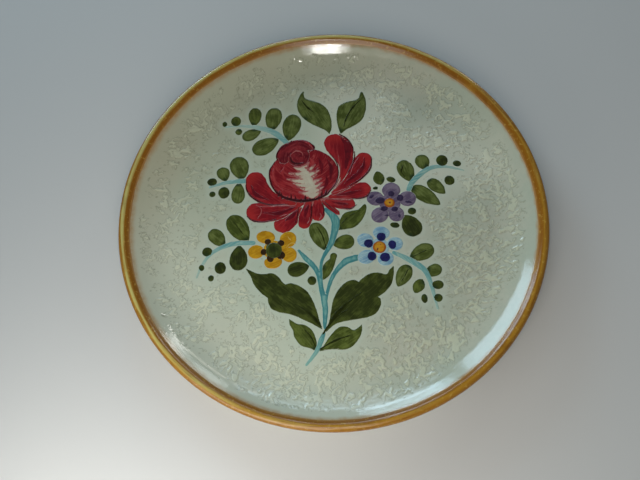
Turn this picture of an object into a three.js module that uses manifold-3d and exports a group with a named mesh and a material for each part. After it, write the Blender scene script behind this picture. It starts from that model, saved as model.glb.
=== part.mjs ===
// Hand painted ceramic plate, lying face up on its foot ring.
// Millimetres, +Z up. The origin is the middle of the plate, on the surface it stands on.
// The painted bouquet grows towards +Y.
import * as THREE from 'three';
import { mergeVertices } from 'three/addons/utils/BufferGeometryUtils.js';
import Module from 'manifold-3d';

const wasm = await Module();
wasm.setup();

// ---- driving dimensions ---------------------------------------------------
const PLATE_R = 120;              // outermost radius
const WELL_R = 90;                // radius of the flat, painted part of the face
const WELL_Z = 8.5;               // height of the glazed well above the table
const WALL_ARC = 34;              // radius of the curve that lifts the well into the wall
const WALL_SLOPE = Math.PI / 5;   // slope of the wall at the rim
const LIP_R = 2.3;                // the rim is rounded with this radius, so the wall is 4.6 thick
const COAT = 0.5;                 // thickness of the fired glaze
const BAND_IN_R = 114.2;          // the coloured band starts at this radius on the face
const BAND_BACK = 2.5;            // and ends this far down the back of the wall
const FOOT_OUT_R = 71;            // foot ring, outside
const FOOT_IN_R = 64.5;           // foot ring, inside
const FOOT_BARE = 1.2;            // the glaze stops this far above the table
const FOOT_ROUND = 0.8;           // the foot ring's lower edges are eased by this much
const FOOT_SPREAD = 1.5;          // each side of the foot ring flares by this much where it joins
const ENAMEL = 0.5;               // thickness of the painted enamel
const GAP = 0.3;                  // painted areas stay this far apart
const ROUND_STEPS = 72;           // facets round the plate
const ARC_STEPS = 5;              // facets along each curve of the section
const STROKE_STEPS = 10;          // facets along each side of a brush stroke
const CAP_STEPS = 4;              // facets round each end of a brush stroke

// ---- colours --------------------------------------------------------------
const CLAY = 0xd8c3a2;
const GROUND = 0xc6c7b4;
const BACK = 0xd9d5c3;
const OCHRE = 0xa8621a;
const CRIMSON = 0x8e1f2b;
const DEEP_CRIMSON = 0x741724;
const OLIVE = 0x4c5a24;
const TURQUOISE = 0x6fa9a8;
const YELLOW = 0xc9952a;
const MAUVE = 0x7b6a8a;
const SKY = 0x9db9cf;
const DARK_GREEN = 0x2f3518;

const plate = new THREE.Group();

function addPart(name, geometry, color, roughness) {
  const material = new THREE.MeshStandardMaterial({ color, roughness, metalness: 0 });
  const mesh = new THREE.Mesh(geometry, material);
  mesh.name = name;
  plate.add(mesh);
}

// ---- the plate's section --------------------------------------------------
// Every surface is a line of points in the (radius, height) plane, given twice: on the glaze
// (depth 0) and on the clay under it (depth COAT). Both have the same number of points.
const arcCentreZ = WELL_Z + WALL_ARC;
const lipX = PLATE_R - LIP_R;
const wallEndR = WELL_R + WALL_ARC * Math.sin(WALL_SLOPE);
const wallEndZ = arcCentreZ - WALL_ARC * Math.cos(WALL_SLOPE);
const lipStartR = lipX - LIP_R * Math.sin(WALL_SLOPE);
const lipZ = wallEndZ + (lipStartR - wallEndR) * Math.tan(WALL_SLOPE) - LIP_R * Math.cos(WALL_SLOPE);
const wall = new THREE.Vector2(Math.cos(WALL_SLOPE), Math.sin(WALL_SLOPE));
const faceNormal = new THREE.Vector2(-wall.y, wall.x);
const UNDERSIDE_Z = WELL_Z - 2 * LIP_R;

function arcPoints(x, z, radius, from, to, steps) {
  const points = [];
  for (let i = 0; i <= steps; i += 1) {
    const angle = from + ((to - from) * i) / steps;
    points.push(new THREE.Vector2(x + radius * Math.cos(angle), z + radius * Math.sin(angle)));
  }
  return points;
}

const DOWN = -Math.PI / 2;
const lipTop = Math.PI / 2 + WALL_SLOPE;
const lipBottom = WALL_SLOPE + DOWN;

// The flat well and the curve of the wall, out to the coloured band.
function faceLine(depth) {
  const bandAlong = (BAND_IN_R - wallEndR) / wall.x;
  const bandEdge = new THREE.Vector2(wallEndR, wallEndZ)
    .addScaledVector(wall, bandAlong)
    .addScaledVector(faceNormal, -depth);
  return [
    new THREE.Vector2(0, WELL_Z - depth),
    ...arcPoints(WELL_R, arcCentreZ, WALL_ARC + depth, DOWN, DOWN + WALL_SLOPE, ARC_STEPS),
    bandEdge,
  ];
}

// From the band's inner edge over the rounded rim to a little way down the back.
function rimLine(depth) {
  const lip = arcPoints(lipX, lipZ, LIP_R - depth, lipTop, lipBottom, ARC_STEPS);
  const backEdge = lip[ARC_STEPS].clone().addScaledVector(wall, -BAND_BACK);
  return [faceLine(depth).at(-1), ...lip, backEdge];
}

// From the band's lower edge down the back to the outside of the foot ring.
function backLine(depth) {
  const radius = WALL_ARC + 2 * LIP_R - depth;
  const curve = arcPoints(WELL_R, arcCentreZ, radius, DOWN + WALL_SLOPE, DOWN, ARC_STEPS);
  return [
    rimLine(depth).at(-1),
    ...curve,
    new THREE.Vector2(FOOT_OUT_R - depth + FOOT_SPREAD, UNDERSIDE_Z + depth),
    new THREE.Vector2(FOOT_OUT_R - depth, FOOT_BARE),
  ];
}

// From the inside of the foot ring to the middle of the underside.
function baseLine(depth) {
  return [
    new THREE.Vector2(FOOT_IN_R + depth, FOOT_BARE),
    new THREE.Vector2(FOOT_IN_R + depth - FOOT_SPREAD, UNDERSIDE_Z + depth),
    new THREE.Vector2(0, UNDERSIDE_Z + depth),
  ];
}

// The foot ring's bare clay, with its flat face on the table.
const footLine = [
  new THREE.Vector2(FOOT_OUT_R - COAT - FOOT_ROUND, 0),
  new THREE.Vector2(FOOT_IN_R + COAT + FOOT_ROUND, 0),
];

function turn(points) {
  const profile = [...points].reverse();
  const geometry = new THREE.LatheGeometry(profile, ROUND_STEPS);
  return geometry.rotateX(Math.PI / 2);
}

// A coat lies between its glazed surface and the clay. A coat that misses the axis is a ring.
function coat(line) {
  const section = [...line(0), ...line(COAT).reverse()];
  const meetsAxis = section.some((point) => point.x === 0);
  if (!meetsAxis) {
    section.push(section[0]);
    return turn(section);
  }
  while (section[0].x !== 0 || section.at(-1).x !== 0) {
    section.push(section.shift());
  }
  return turn(section);
}

const clayLine = [
  ...faceLine(COAT),
  ...rimLine(COAT).slice(1),
  ...backLine(COAT).slice(1),
  ...footLine,
  ...baseLine(COAT),
];

addPart('plate_body', turn(clayLine), CLAY, 0.8);
addPart('face_glaze', coat(faceLine), GROUND, 0.15);
addPart('rim_band', coat(rimLine), OCHRE, 0.15);
addPart('back_glaze', coat(backLine), BACK, 0.2);
addPart('base_glaze', coat(baseLine), BACK, 0.2);

// ---- brush strokes --------------------------------------------------------
// An outline is a function of how far it is grown outwards, so that a stroke laid later can
// cut the ones below it with a gap.

const vectors = (points) => points.map(([x, y]) => new THREE.Vector2(x, y));

function ribbon(curve, halfWidthAt, grow, steps, spread = (share) => share) {
  const left = [];
  const right = [];
  for (let i = 0; i <= steps; i += 1) {
    const t = spread(i / steps);
    const along = curve.getTangent(t);
    const across = new THREE.Vector2(-along.y, along.x);
    const half = halfWidthAt(t) + grow;
    const point = curve.getPoint(t);
    left.push(point.clone().addScaledVector(across, half));
    right.push(point.clone().addScaledVector(across, -half));
  }
  return { left, right };
}

function cap(centre, edge, steps) {
  const points = [];
  const arm = edge.clone().sub(centre);
  for (let i = 1; i < steps; i += 1) {
    points.push(arm.clone().rotateAround(new THREE.Vector2(), (-Math.PI * i) / steps).add(centre));
  }
  return points;
}

// A stroke along a smooth spine, with the half width given at each of its points.
function stroke(spine, halfWidths, steps = STROKE_STEPS) {
  const curve = new THREE.SplineCurve(vectors(spine));
  const widths = new THREE.SplineCurve(halfWidths.map((half, i) => new THREE.Vector2(i, half)));
  return (grow) => {
    const { left, right } = ribbon(curve, (t) => Math.max(widths.getPoint(t).y, 0.1), grow, steps);
    const tip = cap(curve.getPoint(1), left.at(-1), CAP_STEPS);
    const base = cap(curve.getPoint(0), right[0], CAP_STEPS);
    return [...left, ...tip, ...right.reverse(), ...base];
  };
}

// A leaf laid with one press of the brush: narrow where it starts, broad and round at its far end.
const LEAF_START = 0.75;
const LEAF_FAR = 0.5;
const LEAF_WIDEST = LEAF_START / (LEAF_START + LEAF_FAR);
const leafSwell = (t) => t ** LEAF_START * (1 - t) ** LEAF_FAR;

function leaf([baseX, baseY], [tipX, tipY], width) {
  const curve = new THREE.LineCurve(new THREE.Vector2(baseX, baseY), new THREE.Vector2(tipX, tipY));
  const halfAt = (t) => ((width / 2) * leafSwell(t)) / leafSwell(LEAF_WIDEST);
  const closerAtEnds = (share) => (1 - Math.cos(Math.PI * share)) / 2;
  return (grow) => {
    const { left, right } = ribbon(curve, halfAt, grow, STROKE_STEPS, closerAtEnds);
    return [...left.slice(0, -1), ...right.slice(1).reverse()];
  };
}

// A leaf with corners: each row of points is one smooth edge, and the rows meet at corners.
function corneredLeaf(...edges) {
  const path = new THREE.Path();
  const [startX, startY] = edges[0][0];
  path.moveTo(startX, startY);
  for (const edge of edges) {
    path.splineThru(vectors(edge === edges[0] ? edge.slice(1) : edge));
  }
  return () => path.getPoints(3).slice(0, -1);
}

function oval(x, y, radiusX, radiusY, tiltDegrees = 0, steps = 14) {
  return (grow) => {
    const tilt = THREE.MathUtils.degToRad(tiltDegrees);
    const curve = new THREE.EllipseCurve(x, y, radiusX + grow, radiusY + grow, 0, 2 * Math.PI, false, tilt);
    return curve.getPoints(steps).slice(0, -1);
  };
}

// ---- solids ---------------------------------------------------------------
function prism(outline, lowZ, highZ) {
  const shape = new THREE.Shape(outline);
  const geometry = new THREE.ExtrudeGeometry(shape, { depth: highZ - lowZ, bevelEnabled: false });
  geometry.translate(0, 0, lowZ);
  geometry.deleteAttribute('normal');
  geometry.deleteAttribute('uv');
  const merged = mergeVertices(geometry, 1e-4);
  const vertProperties = new Float32Array(merged.attributes.position.array);
  const triVerts = new Uint32Array(merged.index.array);
  return new wasm.Manifold(new wasm.Mesh({ numProp: 3, vertProperties, triVerts }));
}

function toGeometry(solid) {
  const mesh = solid.getMesh();
  const geometry = new THREE.BufferGeometry();
  geometry.setAttribute('position', new THREE.BufferAttribute(mesh.vertProperties, 3));
  geometry.setIndex(new THREE.BufferAttribute(mesh.triVerts, 1));
  const flat = geometry.toNonIndexed();
  flat.computeVertexNormals();
  return flat;
}

const ENAMEL_TOP = WELL_Z + ENAMEL;
const CUT_REACH = 1;

function laid(outlines) {
  const solids = outlines.map((outline) => prism(outline(0), WELL_Z, ENAMEL_TOP));
  return solids.reduce((whole, part) => whole.add(part));
}

function cutter(outlines) {
  const solids = outlines.map((outline) => prism(outline(GAP), WELL_Z - CUT_REACH, ENAMEL_TOP + CUT_REACH));
  return solids.reduce((whole, part) => whole.add(part));
}

// ---- leaves ---------------------------------------------------------------
const leafPaint = [
  ['leaf_upper_left_1', leaf([-21.6, 54.4], [-16.4, 71.7], 10.8)],
  ['leaf_upper_left_2', leaf([-31.2, 61.9], [-27.6, 77.5], 9.8)],
  ['leaf_upper_left_3', leaf([-41.2, 66.2], [-39.6, 78.7], 7.8)],
  ['leaf_upper_left_4', leaf([-37.3, 63], [-48.4, 58.5], 7.2)],
  ['leaf_upper_left_5', leaf([-27.2, 56], [-42.8, 48.6], 10.4)],
  ['leaf_left_1', leaf([-50, 31.2], [-52.4, 46.5], 11)],
  ['leaf_left_2', leaf([-59.6, 31.4], [-62.2, 40.4], 7.4)],
  ['leaf_left_3', leaf([-52.1, 29.6], [-53.6, 16.3], 7.8)],
  ['leaf_lower_left_1', leaf([-48.9, -8.4], [-58, 8.8], 11.4)],
  ['leaf_lower_left_2', leaf([-62.2, -9.4], [-69.8, 1], 8.4)],
  ['leaf_lower_left_3', leaf([-53.8, -9.8], [-55.4, -24.7], 10)],
  ['leaf_right_1', leaf([48.2, 19.8], [43.6, 34.2], 9.4)],
  ['leaf_right_2', leaf([57.6, 26.8], [54.6, 36.6], 8.2)],
  ['leaf_right_3', leaf([66.2, 10.6], [57.8, 20.2], 7.4)],
  ['leaf_right_4', leaf([62.4, 4], [47.8, 16.6], 9)],
  ['leaf_below_mauve', leaf([41.4, -0.6], [47, -13.6], 11)],
  ['leaf_lower_right_1', leaf([40.8, -27.2], [54.8, -21.4], 9.4)],
  ['leaf_lower_right_2', leaf([32.4, -42.7], [39.9, -31], 8.4)],
  ['leaf_lower_right_3', leaf([48, -37], [57.7, -34], 7)],
  ['stem_leaf_left', leaf([-4.4, -18], [-11.2, -0.3], 9.6)],
  ['stem_leaf_right', leaf([-0.8, -14.8], [11.1, -12.8], 8.8)],
  ['stem_leaf_oval', leaf([-15.6, -26], [-27.5, -28.3], 8.6)],
  ['stem_leaf_narrow', corneredLeaf(
    [[-9.4, -35.4], [-8.3, -30], [-7, -25.8], [-3.4, -22.8]],
    [[-2.8, -20.4], [-1, -19.6], [0.5, -20.8], [0.1, -23], [-2.4, -29], [-5.4, -33.2], [-9.4, -35.4]],
  )],
  ['stem_leaf_curled', corneredLeaf(
    [[1.6, -6], [3.8, -1.2], [6.8, 3.6], [11, 5.1], [15.6, 5.6], [18.2, 7.8], [19.7, 8.7]],
    [[20.2, 6.8], [19.5, 3.6], [16.8, -1], [12.6, -4.8], [8.4, -5.7], [1.6, -6]],
  )],
  ['top_leaf_left', corneredLeaf(
    [[3.4, 56.2], [5.1, 61], [5, 68.4], [2.8, 74.6], [-0.6, 78], [-5, 80.3], [-8.6, 82], [-9.8, 84.4],
      [-9.5, 87.1]],
    [[-10.4, 87], [-12.6, 83.8], [-14.2, 79.6], [-14, 74.2], [-11, 68.4], [-5.6, 63.6], [0.4, 59.8],
      [3.4, 56.2]],
  )],
  ['top_leaf_right', corneredLeaf(
    [[10.2, 55.8], [9, 61], [8.8, 68], [10.4, 74], [14.4, 76.8], [20.4, 77.9], [23.2, 78.9], [24, 81],
      [24.7, 83]],
    [[25.9, 83.2], [26.7, 80.6], [27.3, 76.6], [26.6, 70.4], [23.6, 64], [18, 60.2], [13.6, 58.4],
      [10.2, 55.8]],
  )],
  ['big_leaf_left', corneredLeaf(
    [[-11.2, -63.2], [-12.4, -57.5], [-13.9, -50.5], [-17.2, -41.8], [-22, -37.2], [-26, -35.4],
      [-29.4, -35.6]],
    [[-31.4, -33.6], [-33.4, -30.4], [-36.4, -28.3], [-40.6, -28.4], [-45, -27.6], [-50.8, -24.2]],
    [[-48.2, -29.2], [-47, -33.4], [-43.6, -38.8], [-39.6, -42.4]],
    [[-39.5, -45], [-37.8, -48.9], [-33.6, -51.2], [-26.6, -53.5], [-18, -58.6], [-11.2, -63.2]],
  )],
  ['big_leaf_right', corneredLeaf(
    [[-9.5, -64.8], [-8, -61.4], [-6, -55], [-3.6, -46.6], [0.6, -40.4], [5, -37.2], [8.6, -36.6],
      [11.2, -38]],
    [[13.6, -36], [17.4, -34], [22, -33.7], [27, -35], [29, -32.6], [31.4, -30.6]],
    [[31, -34.6], [29.2, -40.4], [25.4, -44.8], [20.6, -47.6]],
    [[22, -49.2], [21.4, -53.2], [18.2, -57], [13, -58.7], [4, -59.4], [-3.4, -60.6], [-9.5, -64.8]],
  )],
  ['bottom_leaf_left', corneredLeaf(
    [[-15.4, -75.2], [-15.1, -70.4], [-15.6, -66.2], [-17.6, -62.2], [-21, -59.7], [-25, -58.6],
      [-28.8, -55.6]],
    [[-28.6, -59], [-27, -62.2], [-26.6, -65.8], [-24.6, -69.4], [-22, -71.7], [-18.6, -72.8],
      [-15.4, -75.2]],
  )],
  ['bottom_leaf_right', corneredLeaf(
    [[-14, -75], [-11.2, -72.2], [-8.6, -68.6], [-5, -64.8], [-1.4, -62.7], [2, -63], [5.2, -65],
      [7.8, -64.4], [10.3, -62.3]],
    [[9.8, -66.4], [7.4, -70.6], [3.4, -74.2], [-1.4, -75.3], [-7, -74.5], [-14, -75]],
  )],
];

// ---- stems, thin and turquoise --------------------------------------------
const stemPaint = [
  ['main_stem', [
    stroke([[-3.2, 7.4], [1.4, 1.6], [1, -5.4], [-2.5, -14.7], [-7, -21.3], [-8.8, -26.5], [-9.6, -33]],
      [1.1, 2.4, 2, 1.4, 0.9, 0.8, 0.9]),
    stroke([[-20.6, -16.2], [-17.2, -21], [-13.8, -25.2], [-11.4, -29.4], [-10.2, -34.5], [-9.9, -40]],
      [0.6, 1.3, 1.4, 1.3, 1.3, 1.1]),
    stroke([[13.4, -23.6], [6.6, -24.7], [2.4, -27.5], [-1.2, -31.2], [-4.2, -36], [-6.6, -42], [-8, -48]],
      [1.7, 2, 1.6, 1.2, 1, 0.8, 0.8]),
    stroke([[-10, -34], [-9.8, -40], [-8.9, -46], [-8.6, -51], [-9, -56], [-9.6, -60], [-9.9, -62.6]],
      [1.3, 1.3, 1.6, 1.5, 1.4, 1.1, 0.6]),
  ]],
  ['stem_tail', [
    stroke([[-10.6, -65.4], [-12.2, -68.8], [-14.2, -73], [-17, -77], [-21.4, -81.8]],
      [0.9, 1.4, 1.1, 0.9, 0.5]),
  ]],
  ['sprig_stem_upper_left', [
    stroke([[-22.4, 52.8], [-28.6, 60], [-37, 64.4], [-46.6, 66.8], [-58.6, 67.5]],
      [1.4, 1.7, 1.4, 0.8, 0.4]),
  ]],
  ['sprig_stem_left', [
    stroke([[-46.4, 30.2], [-54, 30.5], [-61.4, 30], [-69.4, 28.2]], [1.5, 1.3, 1, 0.5]),
  ]],
  ['sprig_stem_lower_left', [
    stroke([[-45.8, -9.2], [-58, -8.6], [-69.4, -12.8], [-75.6, -20.4], [-78.6, -26.8]],
      [1.2, 1.4, 1, 0.7, 0.4]),
  ]],
  ['sprig_stem_right', [
    stroke([[45.4, 14.4], [48.8, 20.2], [58.6, 27.2], [68, 27.8], [79, 24.2]], [1.2, 1.5, 1.3, 0.9, 0.4]),
  ]],
  ['sprig_stem_lower_right', [
    stroke([[32.6, -22.8], [42.6, -29.4], [49.4, -37.4], [52.4, -57.4]], [1, 1.6, 1.3, 0.5]),
  ]],
];

// ---- small flowers: five dabs joined in the middle, and a raised centre ---
const flowerPaint = [
  {
    name: 'yellow_flower', color: YELLOW, centreColor: DARK_GREEN, centre: oval(-34.4, -14.8, 4.4, 4.6),
    core: oval(-34.6, -14.6, 5.8, 5.8),
    dabs: [
      oval(-38.6, -6.3, 5.3, 3.8, -14), oval(-26.1, -9, 4.6, 4.9, -30), oval(-26.1, -18.1, 4.2, 4.5, 20),
      oval(-35.4, -21.8, 5, 3.8, 4), oval(-44.6, -14.6, 4.5, 4.1, 0),
    ],
  },
  {
    name: 'mauve_flower', color: MAUVE, centreColor: YELLOW, centre: oval(33.7, 7.9, 2.9, 2.9),
    core: oval(33.9, 7.9, 6.2, 5.6),
    dabs: [
      oval(35.6, 15.7, 5.2, 4.8), oval(25.9, 11.5, 4.9, 4.4, -20), oval(44.2, 9.5, 4.9, 4.7, 10),
      oval(27.3, 0.9, 5, 4.6, 30), oval(36.8, 0.5, 4.4, 4.6),
    ],
  },
  {
    name: 'blue_flower', color: SKY, centreColor: YELLOW, centre: oval(24.9, -18.7, 3.6, 3.5),
    core: oval(25.2, -18.6, 5.2, 5.2),
    dabs: [
      oval(26.9, -10.2, 4.7, 3.9, -10), oval(17.4, -13.8, 4.6, 4.1, -20), oval(33.8, -17.5, 4.4, 4),
      oval(17.2, -23.7, 5, 4.1, 14), oval(27.5, -25.8, 4.5, 4.1, 10),
    ],
  },
];

// ---- the rose: outer petals first, then the bowl, then the bud ------------
const rosePaint = [
  ['rose_petal_right_low', [stroke([[-2, 12.6], [3.4, 10.6], [10.4, 9.6]], [1.4, 2.8, 3.6])]],
  ['rose_petal_right_mid', [stroke([[0.6, 15.2], [9.6, 15.8], [19.2, 17.8]], [1.4, 3.4, 4.9])]],
  ['rose_petal_top_right', [stroke([[9, 24], [11, 35], [9.4, 44.4], [6, 49.6]], [2.2, 4, 6.9, 6.4])]],
  ['rose_petal_right', [stroke([[2.4, 17.6], [10.4, 22.4], [17.6, 29.4], [21.8, 36.8]], [1.3, 3, 4.9, 5])]],
  ['rose_petal_bottom_left', [stroke([[-19, 7.6], [-23.6, 4], [-28, 0.8]], [3.4, 5, 5.5])]],
  ['rose_petal_bottom', [stroke([[-12.6, 12.2], [-14.6, 5], [-16, 0.4]], [2, 3.8, 3.6])]],
  ['rose_petal_bottom_right', [stroke([[-7.4, 13], [-7.8, 7.6], [-7.8, 4.6]], [2, 3.6, 3.8])]],
  ['rose_petal_left_low', [stroke([[-17, 12.6], [-30, 8.6], [-37, 8.8], [-43, 9.8]], [1.5, 4.6, 5.6, 5.8])]],
  ['rose_petal_left', [stroke([[-21, 13], [-34, 17.6], [-41, 24.6], [-42.4, 29.6]], [1.2, 4.2, 6.1, 5.9])]],
  ['rose_bowl', [oval(-14, 30.8, 20.3, 17.2, 0, 36)]],
  ['rose_bud', [
    stroke([[-25, 42.4], [-24.6, 46.6], [-19, 49.6], [-13, 50.2], [-8.4, 48.4]], [3, 4, 4, 3.8, 2]),
    oval(-16.2, 43.2, 6.4, 6.6),
  ]],
];

// ---- lay the enamel, each stroke cut by the ones laid over it -------------
const olive = leafPaint.map(([name, outline]) => ({ name, outlines: [outline], color: OLIVE }));
const turquoise = stemPaint.map(([name, outlines]) => ({ name, outlines, color: TURQUOISE }));
const petals = flowerPaint.map(({ name, color, core, dabs }) => (
  { name: `${name}_petals`, outlines: [core, ...dabs], color }
));
const crimson = rosePaint.map(([name, outlines]) => (
  { name, outlines, color: name === 'rose_bud' ? DEEP_CRIMSON : CRIMSON }
));
const layers = [...olive, ...turquoise, ...crimson, ...petals];

layers.forEach(({ name, outlines, color }, index) => {
  let solid = laid(outlines);
  for (const above of layers.slice(index + 1)) {
    if (above.color !== OLIVE) {
      solid = solid.subtract(cutter(above.outlines));
    }
  }
  addPart(name, toGeometry(solid), color, 0.25);
});

for (const { name, centre, centreColor } of flowerPaint) {
  const solid = prism(centre(0), ENAMEL_TOP, ENAMEL_TOP + ENAMEL);
  addPart(`${name}_centre`, toGeometry(solid), centreColor, 0.25);
}

export default plate;
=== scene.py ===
"""Hand painted ceramic plate: crawled cream ground, ochre rim band and a folk bouquet in enamel.

Shapes are worked out in millimetres and turned into metres when a mesh is made.
Every painted stroke is a low patch of enamel with a rounded edge, fired onto the glaze.
"""
import math

import bpy
import numpy as np
from mathutils import Matrix, Vector
from mathutils.geometry import delaunay_2d_cdt
from mathutils.kdtree import KDTree


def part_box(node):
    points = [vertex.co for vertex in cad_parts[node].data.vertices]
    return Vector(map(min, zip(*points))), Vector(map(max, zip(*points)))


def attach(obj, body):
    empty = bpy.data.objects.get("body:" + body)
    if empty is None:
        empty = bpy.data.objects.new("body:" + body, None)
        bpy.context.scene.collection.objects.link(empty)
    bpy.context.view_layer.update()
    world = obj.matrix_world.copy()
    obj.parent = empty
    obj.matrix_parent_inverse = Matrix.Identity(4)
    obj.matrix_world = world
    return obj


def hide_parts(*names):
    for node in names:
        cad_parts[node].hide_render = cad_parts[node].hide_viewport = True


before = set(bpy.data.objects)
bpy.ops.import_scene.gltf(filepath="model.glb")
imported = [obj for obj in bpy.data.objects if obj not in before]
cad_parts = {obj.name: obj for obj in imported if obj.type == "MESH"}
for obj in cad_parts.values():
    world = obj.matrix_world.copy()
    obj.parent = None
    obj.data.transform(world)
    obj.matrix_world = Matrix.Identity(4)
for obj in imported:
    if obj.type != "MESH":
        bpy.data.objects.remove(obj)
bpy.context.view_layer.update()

MM = 0.001

# ---- sizes of the plate, in mm ---------------------------------------------
WELL_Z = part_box("main_stem")[0].z / MM    # the glazed well above the table
WELL_R = 90.0                             # the flat part of the face
WALL_ARC = 34.0                           # the curve that lifts the well into the wall
WALL_SLOPE = math.pi / 5                  # slope of the wall at the rim
LIP_X = 117.7                             # middle of the rounded rim
LIP_R = 2.3                               # and its radius
COAT = 0.5                                # thickness of the glaze
BAND_IN_R = 114.2                         # inner edge of the coloured band on the face
BAND_BACK = 2.5                           # how far the band reaches down the back
FACE_R = BAND_IN_R + 0.3                  # the cream glaze of the face ends just under the band
FACE_CELLS = 420                          # its grid has this many cells across
CRAWLED_R = 111.0                         # the crawling stops here
BEND = 1.6                                # the corners of the back are eased by this much
FOOT_OUT_R = 71.0                         # foot ring, outside
FOOT_IN_R = 64.5                          # foot ring, inside
FOOT_BARE = 1.2                           # the glaze stops this far above the table
FOOT_ROUND = 0.8                          # the foot ring's lower edges are eased by this much
FOOT_SPREAD = 1.5                         # each side of the foot ring flares by this much
ROUND_STEPS = 480                         # facets round the plate

ARC_CENTRE_Z = WELL_Z + WALL_ARC
WALL = np.array([math.cos(WALL_SLOPE), math.sin(WALL_SLOPE)])
FACE_NORMAL = np.array([-WALL[1], WALL[0]])
WALL_END = np.array([WELL_R, ARC_CENTRE_Z]) - WALL_ARC * FACE_NORMAL
BAND_START = WALL_END + WALL * (BAND_IN_R - WALL_END[0]) / WALL[0]
LIP_START_R = LIP_X + LIP_R * FACE_NORMAL[0]
LIP_Z = BAND_START[1] + (LIP_START_R - BAND_IN_R) * math.tan(WALL_SLOPE) - LIP_R * WALL[0]
UNDERSIDE_Z = WELL_Z - 2 * LIP_R

# ---- sizes of the painting, in mm ------------------------------------------
RELIEF = 0.36          # height of the crawled glaze over the smooth ground
ENAMEL_RISE = 0.16     # height of a stroke over the ground
STEM_RISE = 0.10       # height of the thinner stems over the ground
DOT_RISE = 0.20        # height of a flower's raised middle over its petals
LINE_RISE = 0.07       # height of a fine line over the stroke under it
FEATHER_RISE = 0.05    # height of a thinner stroke, such as a vein
WASH_RISE = 0.03       # height of a wash over the petals
EDGE_ROUND = 0.28      # a stroke's edge falls over about this width
SUNK = 0.25            # every stroke reaches this far into the glaze
HAIR = 0.3             # width of a fine line where it starts and ends
OUTLINE_STEP = 0.45    # spacing of points along an outline
FILL_STEP = 0.85       # and inside it
ROW_SHARE = 0.87       # rows of near even triangles are closer together by this share
EDGE_RING = 0.22       # a second row of points follows the outline this far in
FLAT_TOP = 0.02        # the flat top of a CAD stroke is this even
SWIRL_R = 12.0         # turns the angle of a swirling brush into a length
GROWN = 0.15           # the strokes close the gaps between the frame's solids
CLEAR_OF_PAINT = (1.0, 8.0)    # the crawling starts this far from the strokes
FADE_OUT = (0.060, 0.084)      # metres from the middle between which the outer stems fade
SHARP = 70             # an outline keeps corners that turn by more than this, in degrees
LEAF_SHARP = 36        # and for leaves with a crisp tip


# ---- noise and curves in numpy ---------------------------------------------
def smooth(low, high, value):
    """0 below low, 1 above high, and an even curve between them."""
    t = np.clip((value - low) / (high - low), 0, 1)
    return t * t * (3 - 2 * t)


def noise(x, y, cell, seed):
    """Gradient noise from about -1 to 1, with features about one cell wide."""
    size = 97
    turn = np.random.RandomState(seed).uniform(0, 2 * math.pi, (size, size))
    u, v = x / cell + 1000.0, y / cell + 1000.0
    i, j = np.floor(u).astype(int), np.floor(v).astype(int)
    fu, fv = u - i, v - j
    su, sv = (f ** 3 * (f * (6 * f - 15) + 10) for f in (fu, fv))

    def corner(di, dj):
        a = turn[(i + di) % size, (j + dj) % size]
        return np.cos(a) * (fu - di) + np.sin(a) * (fv - dj)

    low = corner(0, 0) * (1 - su) + corner(1, 0) * su
    high = corner(0, 1) * (1 - su) + corner(1, 1) * su
    return (low * (1 - sv) + high * sv) * 1.5


def spline(points, step, closed=False):
    """Points about one step apart on a smooth curve through the given ones."""
    p = np.array(points, float)
    before = p[-1:] if closed else 2 * p[:1] - p[1:2]
    after = p[:2] if closed else 2 * p[-1:] - p[-2:-1]
    p = np.concatenate([before, p, after])
    made = []
    for a, b, c, d in zip(p, p[1:], p[2:], p[3:]):
        count = max(1, round(np.linalg.norm(c - b) / step))
        for t in np.arange(count) / count:
            made.append(0.5 * (2 * b + (c - a) * t + (2 * a - 5 * b + 4 * c - d) * t * t
                               + (3 * b - a - 3 * c + d) * t ** 3))
    if not closed:
        made.append(p[-2])
    return np.array(made)


def normals(outline):
    """Outward unit normals of a closed anticlockwise outline."""
    along = np.roll(outline, -1, 0) - np.roll(outline, 1, 0)
    out = np.stack([along[:, 1], -along[:, 0]], 1)
    return out / np.maximum(np.linalg.norm(out, axis=1), 1e-9)[:, None]


def anticlockwise(outline):
    x, y = outline.T
    area = np.sum(x * np.roll(y, -1) - np.roll(x, -1) * y)
    return outline if area > 0 else outline[::-1]


# ---- meshes ----------------------------------------------------------------
def make_piece(name, points, faces, attributes, material, slot, *nodes):
    """A mesh from points in mm, riding on the plate and standing for CAD nodes."""
    mesh = bpy.data.meshes.new(name)
    mesh.from_pydata((np.asarray(points) * MM).tolist(), [], faces)
    mesh.shade_smooth()
    for key, values in attributes.items():
        values = np.asarray(values, np.float32)
        kind = "FLOAT" if values.ndim == 1 else "FLOAT_VECTOR"
        field = "value" if values.ndim == 1 else "vector"
        layer = mesh.attributes.new(key, kind, "POINT")
        layer.data.foreach_set(field, values.ravel())
    mesh.materials.append(material)
    piece = bpy.data.objects.new(name, mesh)
    bpy.context.scene.collection.objects.link(piece)
    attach(piece, "root")
    if nodes:
        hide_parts(*nodes)


def joined(rings):
    """Faces between each ring of vertex numbers and the next. A ring of one number is a point."""
    faces = []
    for a, b in zip(rings, rings[1:]):
        if len(a) + len(b) > 2:
            sides = np.broadcast_arrays(a, np.roll(a, -1), np.roll(b, -1), b)
            faces += [list(dict.fromkeys(face)) for face in np.stack(sides, 1).tolist()]
    return faces


def turned(name, section, material, slot, node, lift=None):
    """A ring or dish turned from a closed section of (radius, height) points.

    lift(angle, radius, height) gives how far each point of the turned surface moves upwards."""
    angle = np.arange(ROUND_STEPS) * 2 * math.pi / ROUND_STEPS
    rings, points = [], []
    for radius, height in np.asarray(section):
        turn = angle if radius > 0 else angle[:1]
        up = height + (lift(turn, radius, height) if lift else 0 * turn)
        rings.append(np.arange(len(turn)) + len(points))
        points.extend(np.stack([radius * np.cos(turn), radius * np.sin(turn), up], 1).tolist())
    make_piece(name, points, joined(rings + rings[:1]), {}, material, slot, node)


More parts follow.
